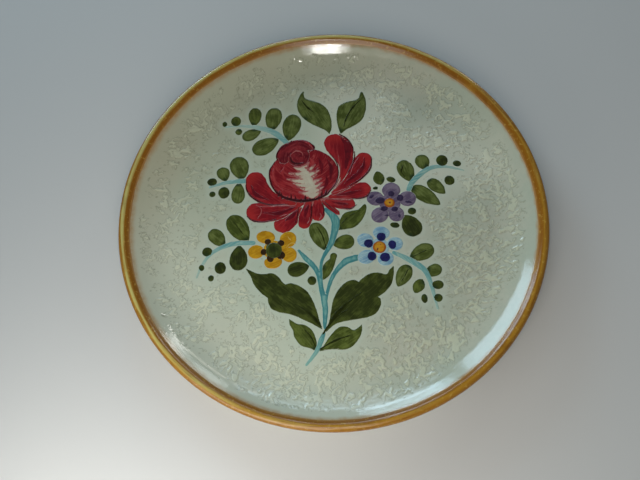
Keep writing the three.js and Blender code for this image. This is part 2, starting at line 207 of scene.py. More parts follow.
def arc(x, z, radius, start, stop, steps):
    angles = np.linspace(start, stop, steps + 1)
    return np.stack([x + radius * np.cos(angles), z + radius * np.sin(angles)], 1)


def eased(points, radius, steps=4):
    """The same line with each inner corner rounded."""
    points = [np.array(p, float) for p in points]
    made = [points[0]]
    for before, corner, after in zip(points, points[1:], points[2:]):
        back, on = before - corner, after - corner
        cut = min(radius, np.linalg.norm(back) / 2.01, np.linalg.norm(on) / 2.01)
        a = corner + back / np.linalg.norm(back) * cut
        b = corner + on / np.linalg.norm(on) * cut
        for t in np.linspace(0, 1, steps + 1):
            made.append((1 - t) ** 2 * a + 2 * t * (1 - t) * corner + t * t * b)
    made.append(points[-1])
    return np.array(made)


# ---- the face --------------------------------------------------------------
def face_height(radius):
    """Height of the glazed face above the table."""
    reach = np.clip(radius - WELL_R, 0, WALL_END[0] - WELL_R)
    curved = ARC_CENTRE_Z - np.sqrt(WALL_ARC ** 2 - reach ** 2)
    return curved + np.maximum(radius - WALL_END[0], 0) * math.tan(WALL_SLOPE)


def droplets(x, y, cell, seed):
    """Distance in mm to the nearest of some scattered points, and a random share for its size."""
    size = 61
    rng = np.random.RandomState(seed)
    off_x, off_y = rng.uniform(0.15, 0.85, (2, size, size))
    share = rng.uniform(0, 1, (size, size))
    u, v = x / cell + 500, y / cell + 500
    i, j = np.floor(u).astype(int), np.floor(v).astype(int)
    best, found = np.full(x.shape, 9.0), np.zeros(x.shape)
    for di in (-1, 0, 1):
        for dj in (-1, 0, 1):
            a, b = (i + di) % size, (j + dj) % size
            away = np.hypot(i + di + off_x[a, b] - u, j + dj + off_y[a, b] - v) * cell
            found = np.where(away < best, share[a, b], found)
            best = np.minimum(best, away)
    return best, found


def crawled(x, y, room):
    """0 on the smooth ground, up to 1 on the curdled worms, pads and drops of thick glaze.

    They shrink away where room falls to 0. There are more of them towards the lower right."""
    bent_x = x + 0.9 * noise(x, y, 3.0, 1)
    bent_y = y + 0.9 * noise(x, y, 3.0, 2)
    lean = 0.0026 * (0.7 * x - 0.7 * y)
    cluster = noise(x, y, 16.0, 6) + 0.8 * noise(x, y, 7.0, 7) + lean
    inside = smooth(-0.75, 0.35, cluster) * room

    def domed(value, edge):
        t = np.clip(value / edge, 0, 1)
        return np.sqrt(t * (2 - t))

    width = 0.27 * inside * smooth(-0.45, 0.0, noise(x, y, 5.5, 17))
    first = domed(width - np.abs(noise(bent_x, bent_y, 3.7, 5)), 0.12)
    second = domed(width - np.abs(noise(bent_x + 17, bent_y + 9, 3.7, 10)), 0.12)
    gate = smooth(-0.1, 0.1, noise(x, y, 4.2, 9))
    worms = np.maximum(first * gate, second * (1 - gate))
    pads = domed(noise(bent_x, bent_y, 3.4, 3) + 0.26 * inside - 0.56, 0.14) * smooth(0.1, 0.4, inside)
    away, share = droplets(x, y, 3.6, 8)
    drops = domed(1.5 * (share - 0.62) - away, 0.4) * (1 - inside)
    height = 0.75 + 0.35 * noise(x, y, 5.0, 18)
    return np.maximum(np.maximum(worms, pads), 0.7 * drops) * np.clip(height, 0.4, 1)


def disc_grid(count, radius):
    """A square grid pressed into a disc: each square ring becomes a circle."""
    side = np.linspace(-1, 1, count + 1)
    a, b = np.meshgrid(side, side)
    steep = np.abs(b) > np.abs(a)
    reach = np.where(steep, b, a)
    turn = np.where(steep, a, b) / np.where(reach == 0, 1, reach) * math.pi / 4
    x = reach * np.where(steep, np.sin(turn), np.cos(turn))
    y = reach * np.where(steep, np.cos(turn), np.sin(turn))
    return x * radius, y * radius


def distance_to_paint(x, y, outlines):
    """How far each point is from the nearest stroke, and 0 under one."""
    points = np.concatenate(outlines)
    tree = KDTree(len(points))
    for i, (px, py) in enumerate(points):
        tree.insert((px, py, 0), i)
    tree.balance()
    gap = np.array([tree.find((px, py, 0))[2] for px, py in zip(x, y)])
    for line in outlines:
        low, high = line.min(0), line.max(0)
        near = np.nonzero((x > low[0]) & (x < high[0]) & (y > low[1]) & (y < high[1]))[0]
        covered = edge_distance(np.column_stack([x[near], y[near]]), line)[1]
        gap[near[covered]] = 0
    return gap


def make_ground(outlines, material):
    """The cream glaze of the face: one closed sheet, crawled away from the painting."""
    x, y = disc_grid(FACE_CELLS, FACE_R)
    x, y = x.ravel(), y.ravel()
    radius = np.hypot(x, y)
    gap = distance_to_paint(x, y, outlines)
    wander = 2.4 * noise(x, y, 9.0, 11)
    lower_right = np.exp(-((np.arctan2(y, x) + 0.75) / 0.45) ** 2)
    reach = CRAWLED_R + 1 - 7 * lower_right - radius + 4 * noise(x, y, 12.0, 12)
    room = smooth(*CLEAR_OF_PAINT, gap + wander) * smooth(0, 8, reach)
    clear_of_band = smooth(0, 4, CRAWLED_R - 5 * lower_right - radius)
    relief = crawled(x, y, room) * smooth(0.5, 1.5, gap) * clear_of_band
    ripple = 0.05 * noise(x, y, 17.0, 13) + 0.02 * noise(x, y, 5.0, 14)
    z = face_height(radius) + RELIEF * relief + ripple * (1 - smooth(BAND_IN_R - 2, BAND_IN_R, radius))

    grid = np.arange(len(x)).reshape(FACE_CELLS + 1, FACE_CELLS + 1)
    quads = np.stack([grid[:-1, :-1], grid[:-1, 1:], grid[1:, 1:], grid[1:, :-1]], -1)
    faces = quads.reshape(-1, 4).tolist()
    edge = np.concatenate([grid[0, :-1], grid[:-1, -1], grid[-1, :0:-1], grid[:0:-1, 0]])
    # The underside is four rings and the point in the middle.
    points, rings = [np.stack([x, y, z], 1)], [edge]
    for ring_r in (FACE_R, 104.0, 97.0, WELL_R):
        share = ring_r / FACE_R
        low = np.full(len(edge), face_height(np.array(ring_r)) - COAT / WALL[0])
        points.append(np.stack([x[edge] * share, y[edge] * share, low], 1))
        rings.append(len(x) + (len(rings) - 1) * len(edge) + np.arange(len(edge)))
    points = np.concatenate(points + [[[0, 0, WELL_Z - COAT]]])
    faces += joined((rings + [[len(points) - 1]])[::-1])

    fill = np.zeros(len(points) - len(x))
    halo = 1 - smooth(0.4, 3.5, gap)
    milky = (1 - smooth(14, 30, gap)) * smooth(25, -25, x + 8 * noise(x, y, 20.0, 16))
    stain_width = 2.6 - 1.0 * x / radius.clip(1.0)
    stain = smooth(BAND_IN_R - stain_width, BAND_IN_R, radius + 0.5 * noise(x, y, 5.0, 15))
    warm = smooth(10, 100, 0.7 * (y - x) + 8 * noise(x, y, 25.0, 19))
    # Painted light: the glaze is made paler towards the lower left and near the painting on the upper
    # right, where the lamps leave it darker.
    lower_left_light = smooth(30, 90, -0.7 * (x + y) + 8 * noise(x, y, 25.0, 20))
    upper_right_light = (1 - smooth(4, 36, gap + wander)) * smooth(-15, 10, x)
    upper_right_light = upper_right_light * smooth(-5, 30, y) * smooth(102, 76, y)
    painted_light = lower_left_light + 1.5 * upper_right_light
    found = dict(relief=relief, painted_light=painted_light, warm=warm, halo=halo, stain=stain, milky=milky)
    attributes = {name: np.append(values, fill) for name, values in found.items()}
    make_piece("ground_glaze", points, faces, attributes, material, "ground_glaze", "face_glaze")


# ---- the rim band ----------------------------------------------------------
def rim_line(s):
    """Radius, height and outward normal at a distance s along the band, from its inner edge."""
    straight = (LIP_START_R - BAND_IN_R) / WALL[0]
    over = math.pi * LIP_R
    on_face = s < straight
    on_back = s > straight + over
    angle = math.pi / 2 + WALL_SLOPE - np.clip(s - straight, 0, over) / LIP_R
    nr, nz = np.cos(angle), np.sin(angle)
    slide = np.where(on_face, s - straight, np.where(on_back, straight + over - s, 0))
    r = LIP_X + LIP_R * nr + slide * WALL[0]
    z = LIP_Z + LIP_R * nz + slide * WALL[1]
    return r, z, nr, nz


BAND_LENGTH = (LIP_START_R - BAND_IN_R) / WALL[0] + math.pi * LIP_R + BAND_BACK


def make_band(material):
    """The brushed ochre band: a thick-edged coat that wanders a little on the face."""
    end = BAND_LENGTH
    rows = np.concatenate([[0, 0.12, 0.3, 0.55, 0.9, 1.4, 2.0], np.linspace(2.6, end - 0.6, 22),
                           [end - 0.3, end - 0.1, end]])
    build = np.interp(rows, [0, 0.12, 0.3, 0.55, 2.6, 3.4, end - 0.6, end - 0.1, end],
                      [-0.25, 0.03, 0.08, 0.11, 0.34, 0.30, 0.08, 0.04, -0.1])
    angle = np.arange(2 * ROUND_STEPS) * math.pi / ROUND_STEPS
    x, y = np.cos(angle), np.sin(angle)
    wander = 0.42 * noise(x * 40, y * 40, 9.0, 21) + 0.16 * noise(x * 40, y * 40, 2.0, 22)
    s = rows[:, None] + (wander - 0.45)[None, :] * (1 - rows / end)[:, None]
    r, z, nr, nz = rim_line(s)
    laps = 0.035 * noise(x * 60 + s * 3, y * 60, 11.0, 23)
    up = build[:, None] + laps * smooth(0.3, 1.0, rows)[:, None]
    outer = np.stack([(r + nr * up) * x, (r + nr * up) * y, z + nz * up], -1)
    deep_r, deep_z = (r - nr * COAT)[::-1], (z - nz * COAT)[::-1]
    inner = np.stack([deep_r * x, deep_r * y, deep_z], -1)[::3]
    points = np.concatenate([outer, inner])
    rings = list(np.arange(points[..., 0].size).reshape(points.shape[:2]))
    faces = joined((rings + rings[:1])[::-1])
    place = np.concatenate([s, s[::-1][::3]])
    pale = smooth(0.75, -0.6, np.cos(angle + math.radians(35)) + 0.45 * noise(x * 40, y * 40, 7.0, 24))
    pale = np.broadcast_to(0.05 + 0.9 * pale, place.shape)
    attributes = {"place": place.ravel(), "pale": pale.ravel()}
    make_piece("rim_band_glaze", points.reshape(-1, 3), faces, attributes,
               material, "ochre_glaze", "rim_band")


# ---- the back, the foot and the clay ---------------------------------------
def back_line(depth):
    """From the band down the back of the wall to where the glaze stops on the foot ring."""
    top = [np.array(rim_line(np.array(BAND_LENGTH))[:2])]
    normal = np.array([WALL[1], -WALL[0]])
    top[0] = top[0] - normal * depth
    curve = arc(WELL_R, ARC_CENTRE_Z, WALL_ARC + 2 * LIP_R - depth,
                WALL_SLOPE - math.pi / 2, -math.pi / 2, steps=14)
    low = eased([
        curve[-1],
        (FOOT_OUT_R - depth + FOOT_SPREAD, UNDERSIDE_Z + depth),
        (FOOT_OUT_R - depth, FOOT_BARE),
    ], BEND)
    return np.concatenate([top, curve, low[1:]])


def base_line(depth):
    """From the inside of the foot ring to the middle of the underside."""
    inside = eased([
        (FOOT_IN_R + depth, FOOT_BARE),
        (FOOT_IN_R + depth - FOOT_SPREAD, UNDERSIDE_Z + depth),
        (FOOT_IN_R - 6, UNDERSIDE_Z + depth),
    ], BEND)
    rings = [(r, UNDERSIDE_Z + depth) for r in np.arange(FOOT_IN_R - 8, 1, -2.0)]
    return np.concatenate([inside, rings, [(0, UNDERSIDE_Z + depth)]])


def thrown(angle, radius, height):
    """The faint spiral that the potter's tool leaves on the back."""
    spiral = np.sin(radius * 1.9 + angle)
    uneven = noise(radius * np.cos(angle), radius * np.sin(angle), 16.0, 31)
    fade = smooth(2.0, 14.0, radius) * smooth(FOOT_BARE + 0.6, FOOT_BARE + 2.2, height)
    return (0.045 * spiral + 0.07 * uneven) * fade


def make_back(material):
    outer = back_line(0.0)
    rolled = outer[-1] + [0.12, 0.12]
    section = np.concatenate([outer[:-1], [rolled, outer[-1] + [0.0, -0.12]], back_line(COAT)[::-1]])
    turned("back_glaze_coat", section[::-1], material, "back_glaze", "back_glaze", thrown)


def make_base(material):
    section = np.concatenate([base_line(0.0), base_line(COAT)[::-1]])
    turned("base_glaze_coat", section[::-1], material, "back_glaze", "base_glaze", thrown)


def make_clay(material):
    """The fired clay under the coats, bare only on the foot ring."""
    over_lip = np.array([rim_line(np.array(s)) for s in np.linspace(0, BAND_LENGTH, 22)])
    over_lip = over_lip[:, :2] - over_lip[:, 2:] * COAT
    face = arc(WELL_R, ARC_CENTRE_Z, WALL_ARC + COAT, -math.pi / 2, WALL_SLOPE - math.pi / 2, steps=12)
    foot = eased([
        (FOOT_OUT_R - COAT, FOOT_BARE),
        (FOOT_OUT_R - COAT, 0),
        (FOOT_IN_R + COAT, 0),
        (FOOT_IN_R + COAT, FOOT_BARE),
    ], FOOT_ROUND)
    section = np.concatenate([
        [(0, WELL_Z - COAT)], face, over_lip, back_line(COAT)[1:-1], foot, base_line(COAT)[1:],
    ])
    turned("clay_body", section[::-1], material, "clay", "plate_body")


# ---- outlines of strokes ---------------------------------------------------
def frame_outline(node):
    """The outline of a CAD stroke, from the rim of its flat top, in mm."""
    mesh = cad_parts[node].data
    top = max(v.co.z for v in mesh.vertices) - FLAT_TOP * MM
    follows = {}
    for face in mesh.polygons:
        if all(mesh.vertices[i].co.z > top for i in face.vertices):
            loop = [tuple(round(c / MM, 3) for c in mesh.vertices[i].co.xy) for i in face.vertices]
            for a, b in zip(loop, loop[1:] + loop[:1]):
                follows[(a, b)] = True
    rim = {a: b for a, b in follows if (b, a) not in follows and a != b}
    start = min(rim)
    line = [start]
    while rim[line[-1]] != start:
        line.append(rim[line[-1]])
    return anticlockwise(np.array(line))


def softened(line, corner):
    """The outline as smooth curves between its corners, which turn by more than corner degrees."""
    ahead = np.roll(line, -1, 0) - line
    heading = np.arctan2(ahead[:, 1], ahead[:, 0])
    bend = (heading - np.roll(heading, 1) + math.pi) % (2 * math.pi) - math.pi
    corners = np.nonzero(np.abs(bend) > math.radians(corner))[0]
    if len(corners) == 0:
        return spline(line, OUTLINE_STEP, closed=True)
    pieces = []
    for a, b in zip(corners, np.roll(corners, -1)):
        stop = b if b > a else b + len(line)
        run = line[np.arange(a, stop + 1) % len(line)]
        pieces.append(spline(run, OUTLINE_STEP)[:-1])
    return np.concatenate(pieces)


def by_hand(line, seed, grow=GROWN, shake=0.13):
    """Grows an outline a little and gives it the small waver of a brush."""
    waver = shake * (noise(*line.T, 3.1, seed) + 0.5 * noise(*line.T, 1.2, seed + 1))
    return line + normals(line) * (grow + waver)[:, None]


def oval(x, y, width, height=None, tilt=0.0):
    """A dab of the brush, in mm and degrees."""
    height = width if height is None else height
    count = max(12, round(math.pi * max(width, height) / OUTLINE_STEP))
    t = np.arange(count) * 2 * math.pi / count
    u, v = width / 2 * np.cos(t), height / 2 * np.sin(t)
    c, s = math.cos(math.radians(tilt)), math.sin(math.radians(tilt))
    return np.stack([x + c * u - s * v, y + s * u + c * v], 1)


def line_outline(spine, widths):
    """A stroke along a smooth spine, with full widths from end to end, or just the middle one."""
    widths = widths if isinstance(widths, tuple) else (HAIR, widths, HAIR)
    path = spline(spine, OUTLINE_STEP)
    share = np.linspace(0, len(widths) - 1, len(path))
    half = np.interp(share, np.arange(len(widths)), widths) / 2
    along = np.gradient(path, axis=0)
    along /= np.maximum(np.linalg.norm(along, axis=1), 1e-9)[:, None]
    across = np.stack([-along[:, 1], along[:, 0]], 1) * half[:, None]
    tip = path[-1:] + along[-1:] * half[-1]
    base = path[:1] - along[:1] * half[0]
    return np.concatenate([path - across, tip, (path + across)[::-1], base])


def leaf_outline(base, tip, width):
    base, tip = np.array(base, float), np.array(tip, float)
    t = np.linspace(0, 1, 14)
    middle = base + (tip - base) * t[:, None]
    ahead = (tip - base) / np.linalg.norm(tip - base)
    across = np.array([-ahead[1], ahead[0]])
    half = width / 2 * np.sin(math.pi * t ** 0.9) ** 0.65
    left, right = middle - across * half[:, None], middle + across * half[:, None]
    return np.concatenate([left, right[-2:0:-1]])


# ---- enamel ----------------------------------------------------------------
def edge_distance(points, line):
    """Distance from each point to an outline, and whether it is inside."""
    a, b = line, np.roll(line, -1, 0)
    ab = b - a
    length = np.maximum(np.sum(ab * ab, 1), 1e-12)
    best = np.full(len(points), 1e9)
    inside = np.zeros(len(points), bool)
    for start, step, size, end in zip(a, ab, length, b):
        t = np.clip(((points - start) @ step) / size, 0, 1)
        away = points - start - t[:, None] * step
        best = np.minimum(best, np.einsum("ij,ij->i", away, away))
        crosses = (start[1] > points[:, 1]) != (end[1] > points[:, 1])
        rise = step[1] if step[1] != 0 else 1e-12
        inside ^= crosses & (points[:, 0] < start[0] + (points[:, 1] - start[1]) * step[0] / rise)
    return np.sqrt(best), inside


def brush_axes(line):
    """The middle of an outline and the direction of its longest reach."""
    apart = line[:, None] - line[None]
    far = np.argmax(np.einsum("ijk,ijk->ij", apart, apart))
    a, b = line[far // len(line)], line[far % len(line)]
    ahead = (b - a) / np.linalg.norm(b - a)
    if ahead[1] < 0:
        ahead = -ahead
    return (a + b) / 2, ahead


def stalk_end(line, stems):
    """The point of a leaf's outline nearest to the stems."""
    apart = np.hypot(line[:, None, 0] - stems[None, :, 0], line[:, None, 1] - stems[None, :, 1])
    return line[np.argmin(apart.min(1))]


def patch(line, seed, base, rise, swirl, stems):
    """Points, faces and attributes of one raised patch of enamel on the well."""
    low, high = line.min(0), line.max(0)
    ring = line - normals(line) * EDGE_RING
    rows = np.arange(low[1], high[1], FILL_STEP * ROW_SHARE)
    grid = [(x + FILL_STEP / 2 * (k % 2), y) for k, y in enumerate(rows)
            for x in np.arange(low[0], high[0], FILL_STEP)]
    inner = np.array(grid).reshape(-1, 2)
    spread = np.random.RandomState(seed).uniform(-0.16, 0.16, inner.shape)
    inner = inner + spread * FILL_STEP
    gap, inside = edge_distance(inner, line)
    inner = inner[inside & (gap > EDGE_RING + 0.35 * FILL_STEP)]
    ring_gap, ring_inside = edge_distance(ring, line)
    ring = ring[ring_inside & (ring_gap > 0.17)]
    flat = np.concatenate([line, ring, inner])
    made = delaunay_2d_cdt([Vector(p) for p in flat], [], [list(range(len(line)))], 1, 1e-5)
    flat = np.array([tuple(p) for p in made[0]])
    triangles = [tuple(f) for f in made[2]]
    gap = edge_distance(flat, line)[0]
    brushed = 0.02 * noise(flat[:, 0], flat[:, 1], 2.3, seed + 5)
    up = base + (rise + brushed) * (1 - np.exp(-gap / EDGE_ROUND))
    count = len(flat)
    top = np.column_stack([flat, WELL_Z + up])
    bottom = np.column_stack([flat, np.full(count, WELL_Z - SUNK)])
    sides = {(a, b) for f in triangles for a, b in zip(f, f[1:] + f[:1])}
    faces = triangles + [tuple(i + count for i in f[::-1]) for f in triangles]
    faces += [(b, a, a + count, b + count) for a, b in sorted(sides) if (b, a) not in sides]
    middle, ahead = brush_axes(line)
    if swirl is None:
        arm = flat - middle
        u, v = arm @ ahead, arm @ np.array([-ahead[1], ahead[0]])
    else:
        arm = flat - np.array(swirl)
        v = np.hypot(*arm.T)
        u = np.arctan2(arm[:, 0], -arm[:, 1]) * SWIRL_R
    reach = max(np.ptp(u), 1e-6) / 2
    stalk = np.full(count, 9.0)
    if stems is not None:
        stalk = np.hypot(*(flat - stalk_end(line, stems)).T)
    facts = {
        "brush": np.column_stack([u, v, np.full(count, seed * 3.7 % 50)]),
        "inset": gap,
        "along": (u - (u.max() + u.min()) / 2) / reach,
        "stalk": stalk,
    }
    both = {key: np.concatenate([value, value]) for key, value in facts.items()}
    return np.concatenate([top, bottom]), faces, both


def enamel(name, lines, paint, *nodes, slot=None, base=0.0, rise=ENAMEL_RISE, swirl=None, stems=None):
    """One piece of enamel from one or more outlines."""
    points, faces, facts = [], [], []
    start = 0
    first = sum(map(ord, name))
    for k, line in enumerate(lines):
        p, f, found = patch(anticlockwise(line), first + 7 * k, base, rise, swirl, stems)
        faces += [tuple(i + start for i in face) for face in f]
        start += len(p)
        points.append(p)
        facts.append(found)
    attributes = {key: np.concatenate([found[key] for found in facts]) for key in facts[0]}
    material, own_slot = PAINTS[paint]
    make_piece(name, np.concatenate(points), faces, attributes, material, slot or own_slot, *nodes)


def over(name, lines, paint, rise=LINE_RISE, lift=0.0):
    """Finer work on top of the strokes."""
    enamel(name, lines, paint, base=ENAMEL_RISE + lift, rise=rise)


# ---- shader helpers --------------------------------------------------------
class Look:
    """A material, and short calls that add nodes to its tree. Colours are linear (r, g, b)."""

    def __init__(self, name, roughness=0.12):
        self.material = bpy.data.materials.new(name)
        self.material.use_nodes = True
        self.tree = self.material.node_tree
        self.shader = self.tree.nodes["Principled BSDF"]
        self.shader.inputs["Roughness"].default_value = roughness
        self.shader.inputs["IOR"].default_value = 1.5
        self.at = self.add("TexCoord").outputs["Object"]

    def add(self, kind, inputs=None, **settings):
        made = self.tree.nodes.new("ShaderNode" + kind)
        for key, value in settings.items():
            setattr(made, key, value)
        for key, value in (inputs or {}).items():
            socket = made.inputs[key]
            if isinstance(value, bpy.types.NodeSocket):
                self.tree.links.new(value, socket)
            else:
                socket.default_value = (*value, 1.0) if socket.type == "RGBA" else value
        return made

    def fact(self, name):
        """One of the numbers kept with each point of the mesh."""
        return self.add("Attribute", attribute_name=name).outputs["Fac"]

    def speckle(self, size, detail=2.0, rough=0.5, at=None, bend=0.0):
        """Noise from 0 to 1 with features of this size, in mm, or in the units of at."""
        at, size = (self.at, size * MM) if at is None else (at, size)
        return self.add("TexNoise", {"Vector": at, "Scale": 1 / size, "Detail": detail,
                                     "Roughness": rough, "Distortion": bend}).outputs["Fac"]

    def span(self, value, low, high, to_low=0.0, to_high=1.0):
        """An even curve from to_low, where the value is low, to to_high, where it is high."""
        made = self.add("MapRange", {"Value": value, "From Min": low, "From Max": high,
                                     "To Min": to_low, "To Max": to_high},
                        interpolation_type="SMOOTHSTEP")
        return made.outputs["Result"]

    def maths(self, operation, a, b=0.5):
        return self.add("Math", {0: a, 1: b}, operation=operation).outputs["Value"]

    def times(self, a, b):
        return self.maths("MULTIPLY", a, b)

    def plus(self, a, b):
        return self.maths("ADD", a, b)

    def minus(self, a, b):
        return self.maths("SUBTRACT", a, b)

    def blend(self, share, a, b):
        """The colour a, with a share of b over it."""
        return self.add("MixRGB", {"Fac": share, "Color1": a, "Color2": b}).outputs["Color"]

    def stops(self, value, *pairs):
        """A colour ramp through pairs of a position and a colour."""
        made = self.add("ValToRGB", {"Fac": value})
        ramp = made.color_ramp
        while len(ramp.elements) < len(pairs):
            ramp.elements.new(0.5)
        for element, (position, colour) in zip(ramp.elements, pairs):
            element.position = position
            element.color = (*colour, 1.0)
        return made.outputs["Color"]

    def finish(self, colour, roughness, height, depth):
        """Links the colour, the roughness and a bump of the given depth in mm."""
        bump = self.add("Bump", {"Height": height, "Distance": depth * MM, "Strength": 1.0})
        self.tree.links.new(colour, self.shader.inputs["Base Color"])
        self.tree.links.new(roughness, self.shader.inputs["Roughness"])
        self.tree.links.new(bump.outputs["Normal"], self.shader.inputs["Normal"])
        return self.material


# ---- materials of the plate ------------------------------------------------
def ground_material():
    """Cream glaze: greyer where it lies thin, yellower on the crawled parts, with painted shade, partly
    pooled glaze, in the creases and painted light towards the lower left and upper right.
    """
    look = Look("ground_glaze", 0.05)
    relief = look.fact("relief")
    cloud = look.speckle(30, 3.0)
    mottle = look.speckle(2.2, 4.0, 0.6)
    grain = look.speckle(0.45, 2.0)
    thin = look.blend(look.span(cloud, 0.3, 0.7), (0.440, 0.490, 0.385), (0.505, 0.515, 0.405))
    thin = look.blend(look.span(mottle, 0.35, 0.7, 0, 0.4), thin, (0.415, 0.465, 0.365))
    thin = look.blend(look.times(look.fact("milky"), 0.45), thin, (0.49, 0.60, 0.465))
    thin = look.blend(look.times(look.fact("warm"), 0.6), thin, (0.475, 0.465, 0.325))
    # Painted light: a paler colour laid over the thin and the thick glaze at the lower left and upper
    # right.
    painted_light = look.times(look.fact("painted_light"), 0.65)
    thin = look.blend(painted_light, thin, (0.62, 0.64, 0.51))
    thick = look.blend(mottle, (0.62, 0.645, 0.47), (0.50, 0.53, 0.39))
    thick = look.blend(painted_light, thick, (0.70, 0.72, 0.56))
    colour = look.blend(look.span(relief, 0.2, 0.8, 0, 0.8), thin, thick)
    # Painted shade: darker colour in the creases round the crawled glaze, partly standing for glaze
    # pooled there.
    crease_shade = look.times(look.span(relief, 0.02, 0.16), look.span(relief, 0.55, 0.22))
    crease_shade = look.times(crease_shade, look.span(mottle, 0.30, 0.62, 0.15, 0.6))
    colour = look.blend(crease_shade, colour, (0.25, 0.26, 0.18))
    colour = look.blend(look.times(look.fact("halo"), 0.35), colour, (0.53, 0.61, 0.50))
    colour = look.blend(look.span(grain, 0.69, 0.78, 0, 0.3), colour, (0.28, 0.27, 0.20))
    stain = look.times(look.fact("stain"), look.span(mottle, 0.2, 0.8, 0.55, 0.95))
    colour = look.blend(stain, colour, (0.43, 0.255, 0.105))
    roughness = look.span(mottle, 0.3, 0.8, 0.03, 0.08)
    pitted = look.plus(look.times(grain, 0.4), mottle)
    return look.finish(colour, roughness, pitted, 0.035)


ACROSS_BAND = 12.4     # mm from the inner edge of the band that its colours are spread over


def band_material():
    """Iron ochre brushed over the rim: it breaks to pale yellow on the crest, more on the left."""
    look = Look("ochre_glaze", 0.2)
    s = look.fact("place")
    apart = look.add("SeparateXYZ", {"Vector": look.at})
    streak_at = look.add("CombineXYZ", {
        "X": look.times(apart.outputs["X"], 34.0),
        "Y": look.times(apart.outputs["Y"], 34.0),
        "Z": look.times(s, 0.85),
    }).outputs["Vector"]
    streak = look.speckle(1.0, 4.0, 0.6, streak_at)
    laps = look.speckle(11, 3.0, 0.6)
    flecks = look.speckle(1.6, 3.0, 0.6)
    shifted = look.plus(s, look.span(streak, 0.25, 0.75, -0.45, 0.45))
    share = look.maths("DIVIDE", shifted, ACROSS_BAND)
    brown = look.stops(
        share,
        (0.0, (0.40, 0.21, 0.07)),
        (0.05, (0.30, 0.125, 0.018)),
        (0.15, (0.28, 0.105, 0.006)),
        (0.24, (0.30, 0.125, 0.007)),
        (0.30, (0.42, 0.20, 0.012)),
        (0.40, (0.36, 0.165, 0.013)),
        (0.55, (0.28, 0.125, 0.014)),
        (1.0, (0.20, 0.09, 0.015)),
    )
    crest = look.times(look.span(share, 0.22, 0.315), look.span(share, 0.42, 0.34))
    crest = look.times(crest, look.fact("pale"))
    colour = look.blend(crest, brown, (0.56, 0.51, 0.17))
    colour = look.blend(look.span(streak, 0.53, 0.72, 0, 0.6), colour, (0.18, 0.06, 0.006))
    colour = look.blend(look.span(laps, 0.55, 0.78, 0, 0.4), colour, (0.46, 0.25, 0.03))
    colour = look.blend(look.span(flecks, 0.57, 0.68, 0, 0.55), colour, (0.56, 0.36, 0.07))
    colour = look.blend(look.span(laps, 0.44, 0.27, 0, 0.45), colour, (0.19, 0.068, 0.007))
    roughness = look.span(streak, 0.3, 0.7, 0.12, 0.24)
    return look.finish(colour, roughness, streak, 0.05)


def back_material():
    """The same cream glaze on the back, with iron specks and a few pinholes."""
    look = Look("back_glaze", 0.2)
    cloud = look.speckle(26, 4.0, 0.55)
    mottle = look.speckle(2.5, 4.0, 0.6)
    dots = look.add("TexVoronoi", {"Vector": look.at, "Scale": 1 / (7 * MM), "Randomness": 1.0})
    pick = look.add("SeparateColor", {"Color": dots.outputs["Color"]}).outputs["Red"]
    size = look.span(pick, 0.45, 1.0, 0.0, 0.11)
    speck = look.maths("LESS_THAN", dots.outputs["Distance"], size)
    colour = look.blend(cloud, (0.50, 0.50, 0.40), (0.63, 0.60, 0.49))
    colour = look.blend(look.span(mottle, 0.3, 0.75, 0, 0.35), colour, (0.45, 0.46, 0.38))
    colour = look.blend(look.times(speck, 0.75), colour, (0.16, 0.10, 0.05))
    height = look.minus(mottle, speck)
    return look.finish(colour, look.span(mottle, 0.3, 0.8, 0.14, 0.28), height, 0.05)


def clay_material():
    look = Look("clay", 0.85)
    cloud = look.speckle(9, 4.0, 0.6)
    grit = look.speckle(0.5, 4.0, 0.7)
    colour = look.blend(cloud, (0.55, 0.42, 0.28), (0.68, 0.55, 0.39))
    colour = look.blend(look.span(grit, 0.55, 0.75, 0, 0.6), colour, (0.32, 0.22, 0.14))
    return look.finish(colour, look.span(grit, 0.3, 0.7, 0.75, 0.95), grit, 0.12)


